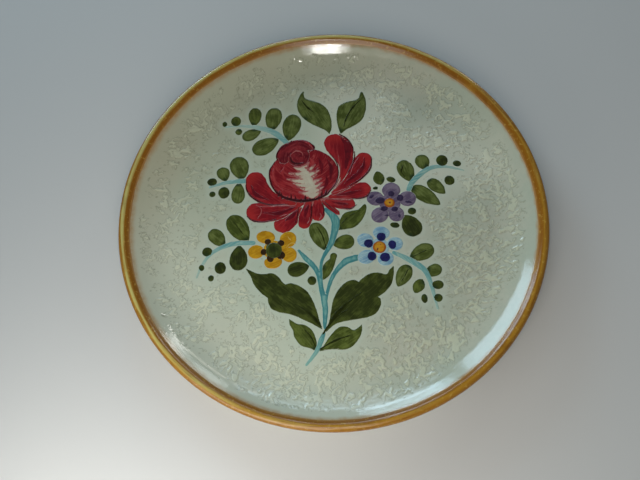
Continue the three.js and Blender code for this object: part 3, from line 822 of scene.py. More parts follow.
# ---- materials of the painting ---------------------------------------------
def enamel_material(name, light, deep, pool, bleed, wash=None, pooling=0.5, ends=0.3, heart=0.0,
                    ring=0.45, stalk=0.0, right=0.0, tips=None, streaks=0.5, fade=0.0, shine=1.0):
    """Brushed enamel, streaked along the stroke.

    It is darker where it pools near the edge, over a width of ring mm, at both ends and at the
    stalk of a leaf; bleed is the softened colour of the very edge, wash shows where the stroke is
    thin, heart is how much deeper the middle of a wide stroke is, right how much deeper a
    swirled one is on its right side, tips a brighter colour at the ends, streaks the share of
    the bristle marks, fade how thin it gets towards the rim of the plate, and shine how much it
    mirrors against a full glaze."""
    look = Look(name)
    look.shader.inputs["Specular IOR Level"].default_value = 0.5 * shine
    brush = look.add("Attribute", attribute_name="brush").outputs["Vector"]
    stretch = look.add("VectorMath", {0: brush, 1: (0.13, 1.1, 1.0)}, operation="MULTIPLY")
    streak = look.speckle(1.0, 3.0, 0.62, stretch.outputs["Vector"], bend=0.5)
    cloud = look.speckle(5.0, 3.0, 0.55)
    grain = look.speckle(0.5, 2.0)
    inset = look.fact("inset")
    tone = look.plus(look.times(streak, streaks), look.times(cloud, 1 - streaks))
    if heart > 0:
        tone = look.minus(tone, look.span(inset, 0.8, 4.5, 0, heart * 0.25))
    if right > 0:
        tone = look.minus(tone, look.span(look.fact("along"), 0.0, 0.6, 0, right))
    colour = look.blend(look.span(tone, 0.38, 0.62), deep, light)
    if wash is not None:
        thin = look.times(look.span(streak, 0.48, 0.70), look.span(inset, 0.1, 0.8))
        colour = look.blend(look.times(thin, 1.2 * streaks), colour, wash)
    far = look.add("Math", {0: look.fact("along")}, operation="ABSOLUTE").outputs["Value"]
    colour = look.blend(look.span(far, 0.55, 1.0, 0, ends), colour, pool)
    if tips is not None:
        colour = look.blend(look.span(far, 0.45, 0.85, 0, 0.65), colour, tips)
    if stalk > 0:
        colour = look.blend(look.span(look.fact("stalk"), 3.0, 0.6, 0, stalk), colour, STALK_GREEN)
    if fade > 0:
        outward = look.add("VectorMath", {0: look.at}, operation="LENGTH").outputs["Value"]
        colour = look.blend(look.span(outward, *FADE_OUT, 0, fade), colour, bleed)
        pooling = look.span(outward, *FADE_OUT, pooling, 0)
    uneven = look.plus(inset, look.span(cloud, 0.3, 0.7, 0.3 * ring, -0.6 * ring))
    pooled = look.times(look.span(uneven, 0.2 * ring, ring, 1, 0), pooling)
    colour = look.blend(pooled, colour, pool)
    colour = look.blend(look.span(inset, 0.05, 0.32, 0.7, 0), colour, bleed)
    roughness = look.span(grain, 0.3, 0.7, 0.08, 0.16)
    return look.finish(colour, roughness, streak, 0.05)


STALK_GREEN = (0.012, 0.032, 0.012)
# Each paint: its slot; its light, deep, pooled and edge colours; and what else differs from the rest.
PALETTE = {
    "olive": ("olive_enamel", (0.135, 0.170, 0.042), (0.056, 0.076, 0.012), (0.030, 0.044, 0.008),
        (0.20, 0.26, 0.13), dict(wash=(0.19, 0.225, 0.075), stalk=0.9, ring=1.0, streaks=0.3)),
    "mid_olive": ("olive_enamel", (0.120, 0.155, 0.029), (0.050, 0.068, 0.010), (0.026, 0.036, 0.007),
        (0.17, 0.22, 0.10), dict(wash=(0.14, 0.17, 0.045), pooling=0.4, ends=0.2, stalk=0.9, heart=0.3,
        ring=0.9, streaks=0.3)),
    "deep_olive": ("olive_enamel", (0.068, 0.088, 0.015), (0.026, 0.035, 0.005), (0.020, 0.028, 0.005),
        (0.15, 0.20, 0.08), dict(wash=(0.09, 0.11, 0.025), pooling=0.1, ends=0.1, stalk=0.9, heart=0.4,
        ring=0.9, streaks=0.3)),
    "dark_olive": ("olive_enamel", (0.058, 0.076, 0.012), (0.023, 0.030, 0.005), (0.018, 0.024, 0.004),
        (0.15, 0.20, 0.09), dict(wash=(0.07, 0.09, 0.020), pooling=0.1, ends=0.2, stalk=0.7, heart=0.4,
        streaks=0.3)),
    "vein": ("olive_enamel", (0.022, 0.028, 0.005), (0.013, 0.017, 0.004), (0.02, 0.026, 0.005),
        (0.035, 0.046, 0.009), dict(pooling=0.3, shine=0.2)),
    "turquoise": ("turquoise_enamel", (0.165, 0.375, 0.335), (0.080, 0.275, 0.265), (0.040, 0.200, 0.215),
        (0.31, 0.50, 0.42), dict(wash=(0.28, 0.48, 0.41), pooling=0.85, ends=0.0, ring=1.3, fade=0.5)),
    "pale_turquoise": ("turquoise_enamel", (0.25, 0.44, 0.39), (0.14, 0.34, 0.33), (0.11, 0.31, 0.31),
        (0.43, 0.55, 0.45), dict(wash=(0.40, 0.53, 0.44), pooling=0.4, ends=0.0, ring=0.7, fade=0.7)),
    "crimson": ("crimson_enamel", (0.34, 0.015, 0.020), (0.20, 0.006, 0.012), (0.11, 0.004, 0.009),
        (0.34, 0.11, 0.10), dict(wash=(0.40, 0.050, 0.048), pooling=0.3, ends=0.0, heart=0.4, ring=0.8,
        tips=(0.40, 0.024, 0.022), streaks=0.4)),
    "shade": ("deep_crimson_enamel", (0.18, 0.007, 0.013), (0.095, 0.004, 0.010), (0.12, 0.004, 0.011),
        (0.23, 0.008, 0.014), dict(ring=0.9, streaks=0.3)),
    "blush": ("crimson_enamel", (0.44, 0.065, 0.062), (0.35, 0.028, 0.032), (0.32, 0.020, 0.026),
        (0.30, 0.015, 0.020), dict(ring=0.8)),
    "rust": ("deep_crimson_enamel", (0.20, 0.035, 0.008), (0.12, 0.02, 0.006), (0.12, 0.02, 0.006),
        (0.26, 0.07, 0.010), {}),
    "bowl": ("crimson_enamel", (0.37, 0.026, 0.030), (0.20, 0.006, 0.012), (0.11, 0.004, 0.009),
        (0.30, 0.10, 0.09), dict(wash=(0.44, 0.080, 0.074), pooling=0.3, ends=0.0, ring=0.8, right=0.12)),
    "bud": ("deep_crimson_enamel", (0.24, 0.017, 0.023), (0.11, 0.005, 0.011), (0.08, 0.003, 0.007),
        (0.30, 0.10, 0.09), dict(wash=(0.36, 0.06, 0.06), pooling=0.35, ends=0.0, ring=0.9,
        streaks=0.35)),
    "contour": ("deep_crimson_enamel", (0.060, 0.006, 0.009), (0.028, 0.004, 0.006), (0.04, 0.004, 0.006),
        (0.12, 0.008, 0.012), dict(pooling=0.2)),
    "cream": ("ground_glaze", (0.60, 0.565, 0.42), (0.52, 0.45, 0.34), (0.48, 0.25, 0.20),
        (0.42, 0.11, 0.10), dict(pooling=0.6, ends=0.4, ring=1.0)),
    "pink": ("crimson_enamel", (0.42, 0.16, 0.14), (0.35, 0.09, 0.085), (0.32, 0.06, 0.06),
        (0.30, 0.03, 0.035), dict(pooling=0.4)),
    "yellow": ("yellow_enamel", (0.58, 0.31, 0.012), (0.42, 0.20, 0.006), (0.38, 0.16, 0.006),
        (0.60, 0.43, 0.13), dict(wash=(0.62, 0.37, 0.028), pooling=0.4, ends=0.0, heart=0.3,
        streaks=0.4)),
    "glint": ("yellow_enamel", (0.62, 0.50, 0.20), (0.60, 0.42, 0.10), (0.58, 0.38, 0.06),
        (0.58, 0.34, 0.03), {}),
    "centre": ("yellow_enamel", (0.58, 0.30, 0.022), (0.48, 0.18, 0.008), (0.34, 0.08, 0.008),
        (0.20, 0.03, 0.007), dict(pooling=0.9, ends=0.0, ring=1.1)),
    "mauve": ("mauve_enamel", (0.215, 0.170, 0.23), (0.11, 0.078, 0.135), (0.085, 0.058, 0.11),
        (0.30, 0.27, 0.29), dict(wash=(0.29, 0.26, 0.30), pooling=0.35, ends=0.0, heart=0.3, ring=0.8,
        streaks=0.35)),
    "violet": ("mauve_enamel", (0.050, 0.032, 0.085), (0.022, 0.015, 0.040), (0.02, 0.014, 0.035),
        (0.09, 0.06, 0.12), dict(pooling=0.3)),
    "blue": ("blue_enamel", (0.36, 0.53, 0.55), (0.16, 0.31, 0.44), (0.22, 0.38, 0.47),
        (0.47, 0.58, 0.52), dict(wash=(0.46, 0.59, 0.56), pooling=0.3, ends=0.0, heart=0.35, ring=0.9,
        streaks=0.4)),
    "navy": ("blue_enamel", (0.020, 0.022, 0.12), (0.010, 0.010, 0.060), (0.01, 0.01, 0.05),
        (0.05, 0.10, 0.22), dict(pooling=0.3)),
    "brown": ("dark_green_enamel", (0.045, 0.022, 0.006), (0.020, 0.010, 0.003), (0.02, 0.012, 0.003),
        (0.13, 0.055, 0.008), dict(pooling=0.3)),
}


PAINTS = {name: (enamel_material(name + "_enamel", *colours, **differs), slot)
          for name, (slot, *colours, differs) in PALETTE.items()}


# ---- the painting ----------------------------------------------------------
LEAF_NODES = ("leaf_upper_left", "leaf_left", "leaf_lower_left", "leaf_right", "leaf_below_mauve",
              "leaf_lower_right", "stem_leaf", "top_leaf", "big_leaf", "bottom_leaf")
BIG_LEAVES = ("big_leaf_left", "big_leaf_right")
MID_LEAVES = ("bottom_leaf_left", "bottom_leaf_right", "leaf_lower_left_1", "stem_leaf_right",
              "leaf_upper_left_3", "stem_leaf_narrow", "stem_leaf_curled")
DARK_LEAVES = ("leaf_lower_left_3", "leaf_below_mauve", "stem_leaf_oval")
CORNERED = ("top_leaf", "big_leaf", "bottom_leaf", "stem_leaf_curled", "stem_leaf_narrow")
STEM_NODES = ("main_stem", "stem_tail", "sprig_stem")

# Berries and small leaves at the ends of the sprigs: x, y, width, height and tilt.
BERRIES = {
    "berries_upper_left": [(-51.9, 70.8, 6.2, 6.8), (-58.8, 69.6, 3.0, 4.0), (-50.6, 63.4, 4.2, 4.4)],
    "berries_left": [(-67.8, 31.6, 5.8, 5.0), (-61.2, 24.0, 6.6, 7.6), (-67.9, 23.7, 3.8)],
    "berries_lower_left": [(-72.2, -12.0, 6.0, 5.6), (-75.7, -21.2, 3.2, 4.0), (-70.6, -28.0, 3.4, 3.8),
                           (-65.2, -22.4, 6.4, 7.2)],
    "berries_right": [(67.4, 31.8, 6.8, 7.4), (75.8, 29.0, 5.0, 4.2, -20), (69.8, 18.6, 6.0, 6.2),
                      (36.3, 22.6, 5.4, 3.6, -20), (26.7, 18.0, 3.2, 2.4)],
    "berries_below_mauve": [(45.8, 1.5, 5.0, 4.4), (35.1, -6.2, 5.6, 3.6, -15)],
    "berries_lower_right": [(54.3, -43.9, 6.6, 5.2), (46.0, -51.1, 3.6, 5.4), (53.5, -51.4, 4.8)],
    "stem_dot": [(-14.6, -34.8, 5.0, 5.4)],
}
SMALL_LEAVES = [((29.9, 19.6), (28.8, 29.0), 6.6), ((46.4, -39.8), (41.0, -47.6), 6.6)]

FLOWERS = {
    "yellow_flower": dict(petals="yellow", centre="dark_olive", centre_slot="dark_green_enamel",
                          spots="brown", dabs=[
        (-37.5, -9.2, 3.6), (-30.1, -10.8, 3.8, 4.0), (-30.7, -18.2, 4.8), (-36.8, -19.4, 4.0, 4.6),
        (-40.4, -15.2, 3.6, 3.8),
    ]),
    "mauve_flower": dict(petals="mauve", centre="centre", spots="violet", dabs=[
        (35.3, 13.5, 3.8, 3.8), (28.5, 9.9, 5.6, 4.4), (40.1, 10.4, 4.0, 4.4, -20),
        (30.3, 4.6, 4.4, 3.2), (36.2, 3.6, 3.9, 3.5), (23.9, 12.8, 3.4, 1.8, 30),
        (44.6, 7.2, 4.0, 1.4, -15), (38.4, -0.8, 1.5, 2.4), (31.2, 0.2, 2.4, 1.2),
    ]),
    "blue_flower": dict(petals="blue", centre="centre", spots="navy", dabs=[
        (26.6, -12.6, 5.2, 5.2), (19.0, -15.8, 5.2, 5.2), (32.2, -17.9, 4.5, 5.4),
        (20.1, -23.6, 5.0, 5.4), (27.3, -25.0, 5.8, 5.6),
    ]),
}
# The green middle of the yellow flower is nearly square under its raised dot.
YELLOW_HEART = [(-38.3, -11.2), (-34.6, -10.3), (-30.7, -11.6), (-29.9, -15.0),
                (-30.6, -18.4), (-34.2, -19.3), (-38.0, -18.6), (-38.7, -15.0)]
CENTRE_MARKS = [(33.9, 7.9, 1.3, 1.3), (23.7, -19.8, 0.9, 1.8, -25), (25.6, -17.2, 0.7)]

# Cream strokes on the bowl of the rose: left tip, the dip in the middle, and right tip.
HIGHLIGHTS = [
    ((-19.6, 36.2), (-14.6, 34.4), (-10.2, 38.6)),
    ((-22.6, 32.4), (-14.5, 31.4), (-6.6, 36.6)),
    ((-19.4, 30.6), (-13.5, 29.3), (-4.6, 32.8)),
    ((-24.0, 28.8), (-14.0, 26.4), (-6.2, 30.2)),
    ((-20.8, 25.8), (-13.0, 23.8), (-3.8, 27.4)),
    ((-16.8, 22.2), (-12.0, 21.2), (-3.6, 24.6)),
    ((-17.6, 19.8), (-11.5, 18.6), (-3.0, 21.8)),
    ((-14.0, 17.4), (-10.0, 16.8), (-4.6, 19.0)),
]
HIGHLIGHT_MIDDLE = ([(-14.8, 36.0), (-12.4, 31.4), (-12.0, 27.0), (-10.2, 22.0), (-9.6, 17.4)],
                    (1.8, 4.6, 6.2, 6.6, 3.8))

# Dark contours on the rose. Each stroke here and below is a spine and its widths along it.
CONTOURS = [
    ([(-30.4, 41.0), (-33.6, 35.6), (-33.8, 29.0), (-31.6, 22.6), (-27.0, 17.8), (-22.0, 15.4)],
     (0.4, 0.9, 1.0, 1.1, 1.5, 1.8)),
    ([(-22.0, 15.4), (-16.0, 14.1), (-8.2, 14.6), (-1.6, 16.9)], (1.8, 2.1, 1.6, 1.2)),
    ([(-1.6, 16.9), (4.0, 23.2), (6.2, 29.9), (5.8, 37.0), (2.4, 43.0)], (1.1, 0.8, 0.6, 0.6, 0.3)),
    ([(-21.2, 43.4), (-20.2, 40.0), (-17.2, 38.3), (-13.2, 38.6)], (0.5, 1.5, 1.3, 0.5)),
    ([(-28.6, 41.4), (-29.0, 45.0), (-26.6, 49.2), (-22.6, 51.4), (-19.4, 54.0)],
     (0.4, 0.9, 1.0, 0.7, 0.4)),
    ([(-9.0, 51.8), (-6.4, 48.4), (-7.6, 45.4)], (0.4, 0.9, 0.4)),
    ([(-47.8, 30.4), (-48.0, 25.0), (-45.2, 19.6), (-39.0, 15.0), (-33.0, 13.4), (-24.0, 12.9)],
     (0.3, 0.9, 1.0, 0.9, 0.7, 0.4)),
    ([(-48.6, 7.8), (-45.4, 4.6), (-39.0, 3.2), (-32.0, 4.2)], (0.4, 0.9, 0.8, 0.4)),
    ([(9.2, 55.6), (13.2, 52.2), (16.0, 46.8), (16.5, 42.4)], (0.4, 0.9, 1.1, 0.4)),
    ([(17.0, 43.0), (16.4, 38.0), (13.6, 32.4), (11.4, 29.0)], (0.5, 1.0, 0.8, 0.4)),
    ([(26.6, 37.8), (25.2, 31.2), (20.4, 25.8), (14.2, 22.2), (9.6, 20.0)], (0.5, 1.0, 1.0, 0.8, 0.4)),
    ([(24.0, 17.0), (21.2, 13.4), (16.4, 12.4), (11.6, 13.0)], (0.4, 0.9, 0.7, 0.4)),
    ([(14.8, 8.6), (10.6, 6.4), (6.2, 7.4)], (0.3, 0.8, 0.4)),
    ([(-18.6, 10.4), (-19.6, 5.2), (-21.2, 0.8)], (0.4, 0.8, 0.4)),
    ([(-11.2, 11.6), (-11.4, 6.0), (-12.6, 1.6)], (0.4, 0.9, 0.4)),
    ([(-4.6, 12.0), (-4.2, 7.0), (-5.4, 3.4)], (0.4, 0.8, 0.4)),
    ([(-3.4, 12.2), (0.4, 8.0), (3.4, 4.6)], (0.4, 0.7, 0.4)),
]
# Where the brush has frayed the contour at the bottom of the bowl.
FRAYED = [(-29.6, 19.6), (-27.4, 17.8), (-25.2, 17.0), (-22.4, 16.4), (-19.6, 15.2), (-17.0, 14.4),
          (-14.6, 15.2), (-11.6, 15.2), (-9.2, 15.6), (-7.2, 15.2), (-4.8, 16.8), (-2.4, 17.6)]

# Deeper crimson in the hearts of the petals and on the right of the bowl.
SHADES = [
    ([(-4.6, 41.4), (-3.0, 35.4), (-3.6, 30.4)], (0.5, 2.6, 0.5)),
    ([(0.4, 40.0), (2.4, 33.0), (1.0, 25.6)], (0.6, 3.0, 0.6)),
    ([(-1.0, 29.4), (-1.2, 24.0), (-4.0, 19.6)], (0.5, 2.6, 0.4)),
    ([(9.8, 53.4), (13.2, 47.0), (12.4, 39.0), (10.6, 32.0)], (0.8, 4.4, 3.6, 0.8)),
    ([(22.4, 38.0), (20.8, 32.0), (15.6, 27.0), (9.0, 22.8)], (0.6, 2.4, 2.2, 0.5)),
    ([(-45.0, 27.0), (-42.6, 21.0), (-35.6, 16.6)], (0.5, 3.0, 0.6)),
    ([(-39.6, 9.0), (-30.0, 7.8), (-20.6, 10.8)], (0.8, 2.8, 0.8)),
    ([(-27.0, 2.6), (-23.2, 5.0), (-19.4, 8.4)], (0.8, 3.2, 0.8)),
    ([(-15.6, 3.6), (-14.4, 7.4), (-12.8, 11.4)], (0.6, 2.8, 0.8)),
    ([(18.0, 17.4), (11.0, 16.2), (4.0, 15.6)], (0.6, 2.6, 0.5)),
    ([(10.0, 9.4), (4.6, 10.6), (0.4, 12.0)], (0.6, 2.2, 0.4)),
]
# Lighter red on the left of the bowl and beside the highlight.
BLUSHES = [
    ([(-30.2, 38.4), (-31.8, 32.4), (-30.4, 26.4), (-26.6, 21.6)], (0.5, 1.9, 1.7, 0.4)),
    ([(-24.4, 37.4), (-26.4, 33.4), (-25.2, 29.4)], (0.5, 2.0, 0.5)),
    ([(-23.4, 25.8), (-19.4, 22.6), (-15.6, 21.4)], (0.4, 1.5, 0.4)),
    ([(-9.8, 41.6), (-8.0, 38.4), (-8.6, 35.2)], (0.4, 2.2, 0.6)),
    ([(-12.0, 52.4), (-9.0, 51.0), (-7.6, 48.8)], (0.4, 1.4, 0.4)),
]

# Pink paint in the gaps between the bowl and the petals.
UNDERPAINT = [
    ([(-42.5, 12.9), (-32.0, 12.8), (-20.0, 12.4)], (0.8, 1.8, 2.0)),
    ([(-30.6, 18.4), (-24.0, 14.0), (-10.0, 12.6), (2.0, 15.0)], (1.4, 2.6, 3.0, 2.5)),
    ([(2.0, 16.0), (7.4, 24.0), (8.8, 32.0), (7.6, 41.0)], (2.4, 3.4, 3.0, 1.2)),
    ([(3.0, 17.6), (9.0, 19.4), (15.6, 22.0)], (2.0, 1.8, 0.8)),
    ([(2.0, 13.8), (8.0, 13.4), (13.6, 12.9)], (2.0, 1.5, 0.6)),
    ([(7.0, 22.0), (11.6, 27.4), (15.6, 34.0)], (2.0, 1.6, 0.8)),
    ([(-21.0, 12.0), (-23.6, 8.6), (-30.0, 6.2)], (2.0, 1.4, 0.6)),
]

# Fine pink lines where the light catches an edge.
SCRATCHES = [
    ([(-20.8, 44.6), (-17.2, 46.9), (-13.9, 45.4), (-13.6, 43.2)], (0.3, 0.9, 0.8, 0.4)),
    ([(-21.9, 43.4), (-22.0, 39.8), (-18.2, 36.8), (-13.0, 36.9), (-10.0, 41.0)],
     (0.3, 0.4, 0.5, 0.4, 0.3)),
    ([(-9.4, 50.2), (-7.6, 47.6), (-9.6, 44.8)], 0.5),
    ([(7.4, 41.0), (7.6, 32.0), (6.2, 25.8), (2.4, 19.6)], (0.3, 0.7, 0.6, 0.3)),
    ([(14.0, 21.0), (8.4, 19.0), (1.6, 17.4)], (0.3, 0.5, 0.4)),
    ([(12.6, 12.9), (5.6, 13.6), (-4.2, 14.0)], 0.5),
    ([(-42.8, 14.2), (-40.2, 11.6), (-40.6, 8.2), (-42.6, 5.8)], (0.3, 0.6, 0.7, 0.3)),
    ([(-41.0, 13.2), (-34.0, 12.5), (-24.6, 12.4)], 0.4),
    ([(-12.9, 3.6), (-13.0, 1.6), (-14.4, -0.4)], (0.4, 0.9, 0.5)),
    ([(-6.6, 5.4), (-6.0, 3.4), (-7.4, 1.6)], (0.4, 1.1, 0.5)),
    ([(-20.6, 8.6), (-24.6, 6.8), (-29.6, 5.8)], 0.4),
    ([(13.0, 28.0), (15.8, 34.4), (19.4, 39.4)], 0.4),
    ([(-21.6, 30.9), (-16.0, 29.3), (-11.4, 30.4)], (0.4, 0.8, 0.3)),
    ([(-20.8, 27.5), (-15.6, 25.3), (-11.0, 26.6)], (0.4, 0.7, 0.3)),
    ([(-16.4, 34.3), (-13.2, 33.3), (-11.0, 34.6)], 0.6),
    ([(-15.4, 20.9), (-12.6, 19.9), (-9.6, 20.8)], (0.4, 0.6, 0.3)),
    ([(-10.6, 31.2), (-7.8, 31.8), (-5.0, 34.6)], (0.3, 0.6, 0.4)),
    ([(-10.2, 28.2), (-7.6, 28.2), (-4.6, 29.9)], (0.3, 0.6, 0.4)),
    ([(-9.4, 25.0), (-6.6, 25.0), (-3.6, 27.6)], (0.3, 0.6, 0.4)),
    ([(-8.6, 22.0), (-6.0, 22.0), (-3.2, 24.8)], (0.3, 0.6, 0.4)),
    ([(-8.4, 19.4), (-6.0, 19.3), (-3.6, 21.2)], (0.3, 0.6, 0.4)),
]
# The same, in yellow, where the outer petals of the yellow flower catch it.
GLINTS = [
    ([(-26.2, -6.6), (-25.2, -8.8), (-23.0, -10.6)], 0.5),
    ([(-27.4, -13.6), (-24.6, -11.4), (-22.0, -11.6)], 0.5),
]

VEINS = [
    ([(-8.2, -61.6), (-9.6, -63.8), (-11.2, -65.8)], (0.8, 1.3, 0.8)),
    ([(-8.6, -62.8), (-4.4, -57.4), (2.0, -51.0), (13.6, -43.2)], (0.9, 2.6, 1.1, 0.3)),
    ([(-3.4, -57.4), (0.4, -55.0), (4.2, -53.2)], (0.6, 0.8, 0.3)),
    ([(-11.6, -61.8), (-15.4, -56.0), (-19.6, -51.4), (-25.0, -47.6)], (0.6, 1.8, 1.0, 0.3)),
    ([(-13.4, -74.0), (-5.0, -70.0), (4.6, -67.6)], (0.6, 1.3, 0.3)),
    ([(-15.8, -72.4), (-17.6, -67.0), (-20.8, -62.6)], (0.5, 1.0, 0.3)),
    ([(-11.4, 81.4), (-8.6, 76.4), (-3.4, 70.6)], (0.4, 1.2, 0.3)),
    ([(24.0, 77.6), (18.6, 72.4), (14.0, 65.0), (12.4, 60.0)], (0.4, 1.1, 0.9, 0.3)),
    ([(-5.0, -16.4), (-6.4, -9.0), (-8.8, -3.0)], (0.5, 0.8, 0.3)),
    ([(16.6, 4.8), (9.6, 1.6), (4.0, -3.4)], 0.6),
    ([(42.2, -26.4), (47.0, -24.6), (52.0, -22.6)], 0.5),
    ([(33.4, -41.4), (36.6, -37.4), (39.2, -33.4)], 0.5),
    ([(44.6, 31.2), (43.0, 27.4), (44.6, 23.4)], 1.0),
    ([(-56.6, 5.4), (-53.6, 0.4), (-50.4, -4.6)], 0.6),
]

SMALL_PETAL = ([(-5.0, 13.0), (-0.6, 8.6), (3.5, 4.5)], (1.6, 3.4, 3.0))
# The brush went round these points in the rose's bowl and bud.
ROSE_CENTRE_TOP = (-13.0, 46.0)
ROSE_CENTRE = (-16.1, 42.4)


def starting(names, *starts):
    return sorted(n for n in names if n.startswith(starts))


def leaf_paint(node):
    if node in DARK_LEAVES:
        return "dark_olive"
    if node in BIG_LEAVES:
        return "deep_olive"
    return "mid_olive" if node in MID_LEAVES else "olive"


def paint_nodes(outlines):
    """Every stroke of the frame, as brushed enamel over the same outline. Gives back the stems."""
    nodes = list(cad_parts)

    def lay(node, paint, **how):
        corner = LEAF_SHARP if node.startswith(CORNERED) else SHARP
        line = by_hand(softened(frame_outline(node), corner), sum(map(ord, node)))
        outlines.append(line)
        enamel(node + "_enamel", [line], paint, node, **how)

    for node in starting(nodes, *STEM_NODES):
        lay(node, "pale_turquoise" if node.startswith("sprig_stem") else "turquoise", rise=STEM_RISE)
    stems = np.concatenate(outlines)
    for node in starting(nodes, *LEAF_NODES):
        lay(node, leaf_paint(node), stems=stems)
    for node in starting(nodes, "rose_petal"):
        lay(node, "crimson")
    lay("rose_bowl", "bowl", swirl=ROSE_CENTRE_TOP)
    lay("rose_bud", "bud", swirl=ROSE_CENTRE)
    for flower, facts in FLOWERS.items():
        lay(flower + "_petals", facts["petals"])
        lay(flower + "_centre", facts["centre"], slot=facts.get("centre_slot"),
            base=ENAMEL_RISE, rise=DOT_RISE)
    return stems


def dabbed(dabs, seed, shake=0.13):
    return [by_hand(oval(*dab), seed + 3 * k, grow=0.0, shake=shake) for k, dab in enumerate(dabs)]


def drawn(strokes, seed, shake=0.12):
    return [by_hand(line_outline(*stroke), seed + k, grow=0.0, shake=shake)
            for k, stroke in enumerate(strokes)]


def paint_sprigs(outlines, stems):
    for name, dabs in BERRIES.items():
        lines = dabbed(dabs, 40)
        outlines.extend(lines)
        enamel(name, lines, "mid_olive" if name.endswith("upper_left") else "dark_olive", stems=stems)
    lines = [by_hand(leaf_outline(*small), 60 + k, grow=0.0) for k, small in enumerate(SMALL_LEAVES)]
    outlines.extend(lines)
    enamel("small_leaves", lines, "mid_olive", stems=stems)
    over("leaf_veins", drawn(VEINS, 70, 0.2), "vein", FEATHER_RISE)


def paint_flowers():
    for flower, facts in FLOWERS.items():
        over(flower + "_spots", dabbed(facts["dabs"], 80, 0.2), facts["spots"])
    heart = by_hand(spline(YELLOW_HEART, OUTLINE_STEP, closed=True), 86, grow=0.0)
    over("yellow_flower_heart", [heart], "dark_olive", rise=0.04)
    over("yellow_flower_glints", drawn(GLINTS, 88), "glint")
    over("centre_marks", dabbed(CENTRE_MARKS, 90, 0.1), "rust", lift=DOT_RISE)


def paint_rose():
    enamel("rose_petal_small", drawn([SMALL_PETAL], 91), "crimson")
    enamel("rose_underpaint", drawn(UNDERPAINT, 180), "pink", rise=FEATHER_RISE)
    over("rose_shades", drawn(SHADES, 130, 0.25), "shade", WASH_RISE)
    over("rose_blushes", drawn(BLUSHES, 150, 0.2), "blush", WASH_RISE)
    feathers = [(tips, (0.9, 5.8, 0.9)) for tips in HIGHLIGHTS]
    over("rose_highlight_edge", drawn(feathers, 160, 0.3), "pink", FEATHER_RISE)
    strokes = [(tips, (0.5, 4.2, 0.5)) for tips in HIGHLIGHTS] + [HIGHLIGHT_MIDDLE]
    over("rose_highlight", drawn(strokes, 95, 0.25), "cream")
    rng = np.random.RandomState(113)
    frayed = [([(x, y - 1.0), (x + lean, y + long)], (1.5, 0.4)) for (x, y), lean, long
              in zip(FRAYED, rng.uniform(-0.9, 1.3, len(FRAYED)), rng.uniform(0.7, 3.6, len(FRAYED)))]
    over("rose_contours", drawn(CONTOURS + frayed, 110), "contour")
    over("rose_light_lines", drawn(SCRATCHES, 170, 0.05), "pink", lift=0.02)


# ---- the stage -------------------------------------------------------------
def make_floor():
    size = 3.0
    mesh = bpy.data.meshes.new("floor")
    corners = [(-size, -size, 0), (size, -size, 0), (size, size, 0), (-size, size, 0)]
    mesh.from_pydata(corners, [], [(0, 1, 2, 3)])
    look = Look("floor", 0.7)
    look.shader.inputs["Base Color"].default_value = (0.62, 0.62, 0.60, 1.0)
    mesh.materials.append(look.material)
    floor = bpy.data.objects.new("floor", mesh)
    bpy.context.scene.collection.objects.link(floor)


def area_light(name, azimuth, elevation, distance, width, height, power, colour):
    """A soft box that faces the plate from an azimuth, anticlockwise from +X, in degrees."""
    data = bpy.data.lights.new(name, "AREA")
    data.shape = "RECTANGLE"
    data.size, data.size_y = width, height
    data.energy, data.color = power, colour
    light = bpy.data.objects.new(name, data)
    a, e = math.radians(azimuth), math.radians(elevation)
    away = Vector((math.cos(a) * math.cos(e), math.sin(a) * math.cos(e), math.sin(e)))
    light.location = away * distance
    light.rotation_euler = away.to_track_quat("Z", "Y").to_euler()
    bpy.context.scene.collection.objects.link(light)


DAYLIGHT = (0.60, 0.83, 1.0)
FAR_LIGHT = 1.6
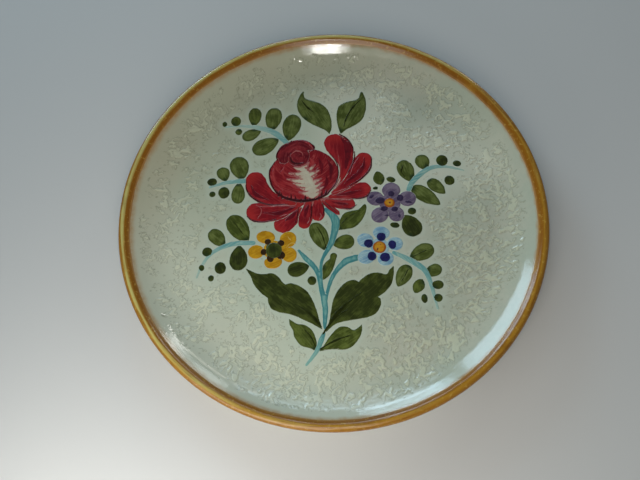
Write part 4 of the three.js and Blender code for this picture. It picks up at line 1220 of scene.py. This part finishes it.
# Name, azimuth, elevation, distance, width, height, power and colour.
LIGHTS = [
    ("window", 119.9, 18.5, FAR_LIGHT, 0.645, 0.59, 8.6, DAYLIGHT),
    ("lamp_far", 60, 14.0, FAR_LIGHT, 0.50, 0.14, 0.9, (0.95, 1.0, 0.96)),
    ("lamp_high", 66, 25.0, FAR_LIGHT, 0.55, 0.10, 0.6, (1.0, 0.93, 0.82)),
    ("window_gap", 57, 20.0, FAR_LIGHT, 0.10, 0.34, 0.8, (1.0, 0.98, 0.94)),
    ("flash", -95.1, 65.9, 0.464, 0.055, 0.02, 0.18, (1.0, 0.98, 0.94)),
    ("front", -104, 47, 0.62, 0.42, 0.30, 1.05, (1.0, 0.97, 0.90)),
    ("glow", -120, 22, 0.27, 0.22, 0.10, 0.26, (1.0, 0.98, 0.95)),
]
# The slats of a blind beside the window: azimuth, elevation, width, height and brightness.
SLATS = [(97.2, 14, 0.38, 0.19, 32), (86, 21, 0.75, 0.11, 18), (90, 29, 0.55, 0.08, 18),
         (84, 38, 0.55, 0.06, 18)]


def make_lights():
    for facts in LIGHTS:
        area_light(*facts)
    for k, (azimuth, elevation, width, height, bright) in enumerate(SLATS):
        power = bright * width * height
        area_light(f"slat_{k}", azimuth, elevation, FAR_LIGHT, width, height, power, DAYLIGHT)
    world = bpy.data.worlds.new("studio")
    world.use_nodes = True
    world.node_tree.nodes["Background"].inputs["Color"].default_value = (0.80, 0.86, 0.90, 1.0)
    world.node_tree.nodes["Background"].inputs["Strength"].default_value = 0.10
    bpy.context.scene.world = world
    bpy.context.scene.view_settings.view_transform = "Standard"


def make_camera():
    """Looks down at the plate from the front, a little off level."""
    elevation, roll = math.radians(68.2), math.radians(-5.29)
    distance, target = 0.4512, Vector((-0.00804, -0.01164, 0.010))
    ahead = Vector((0, math.cos(elevation), -math.sin(elevation)))
    right = Vector((1, 0, 0))
    up = right.cross(ahead)
    side = right * math.cos(roll) + up * math.sin(roll)
    top = up * math.cos(roll) - right * math.sin(roll)
    data = bpy.data.cameras.new("camera")
    data.lens = 45.0
    data.sensor_width = 36.0
    camera = bpy.data.objects.new("camera", data)
    turn = Matrix((side, top, -ahead)).transposed()
    camera.matrix_world = Matrix.Translation(target - ahead * distance) @ turn.to_4x4()
    bpy.context.scene.collection.objects.link(camera)
    bpy.context.scene.camera = camera


def main():
    make_camera()
    make_lights()
    make_floor()
    outlines = []
    stems = paint_nodes(outlines)
    paint_sprigs(outlines, stems)
    paint_flowers()
    paint_rose()
    make_ground(outlines, ground_material())
    make_band(band_material())
    back = back_material()
    make_back(back)
    make_base(back)
    make_clay(clay_material())


main()
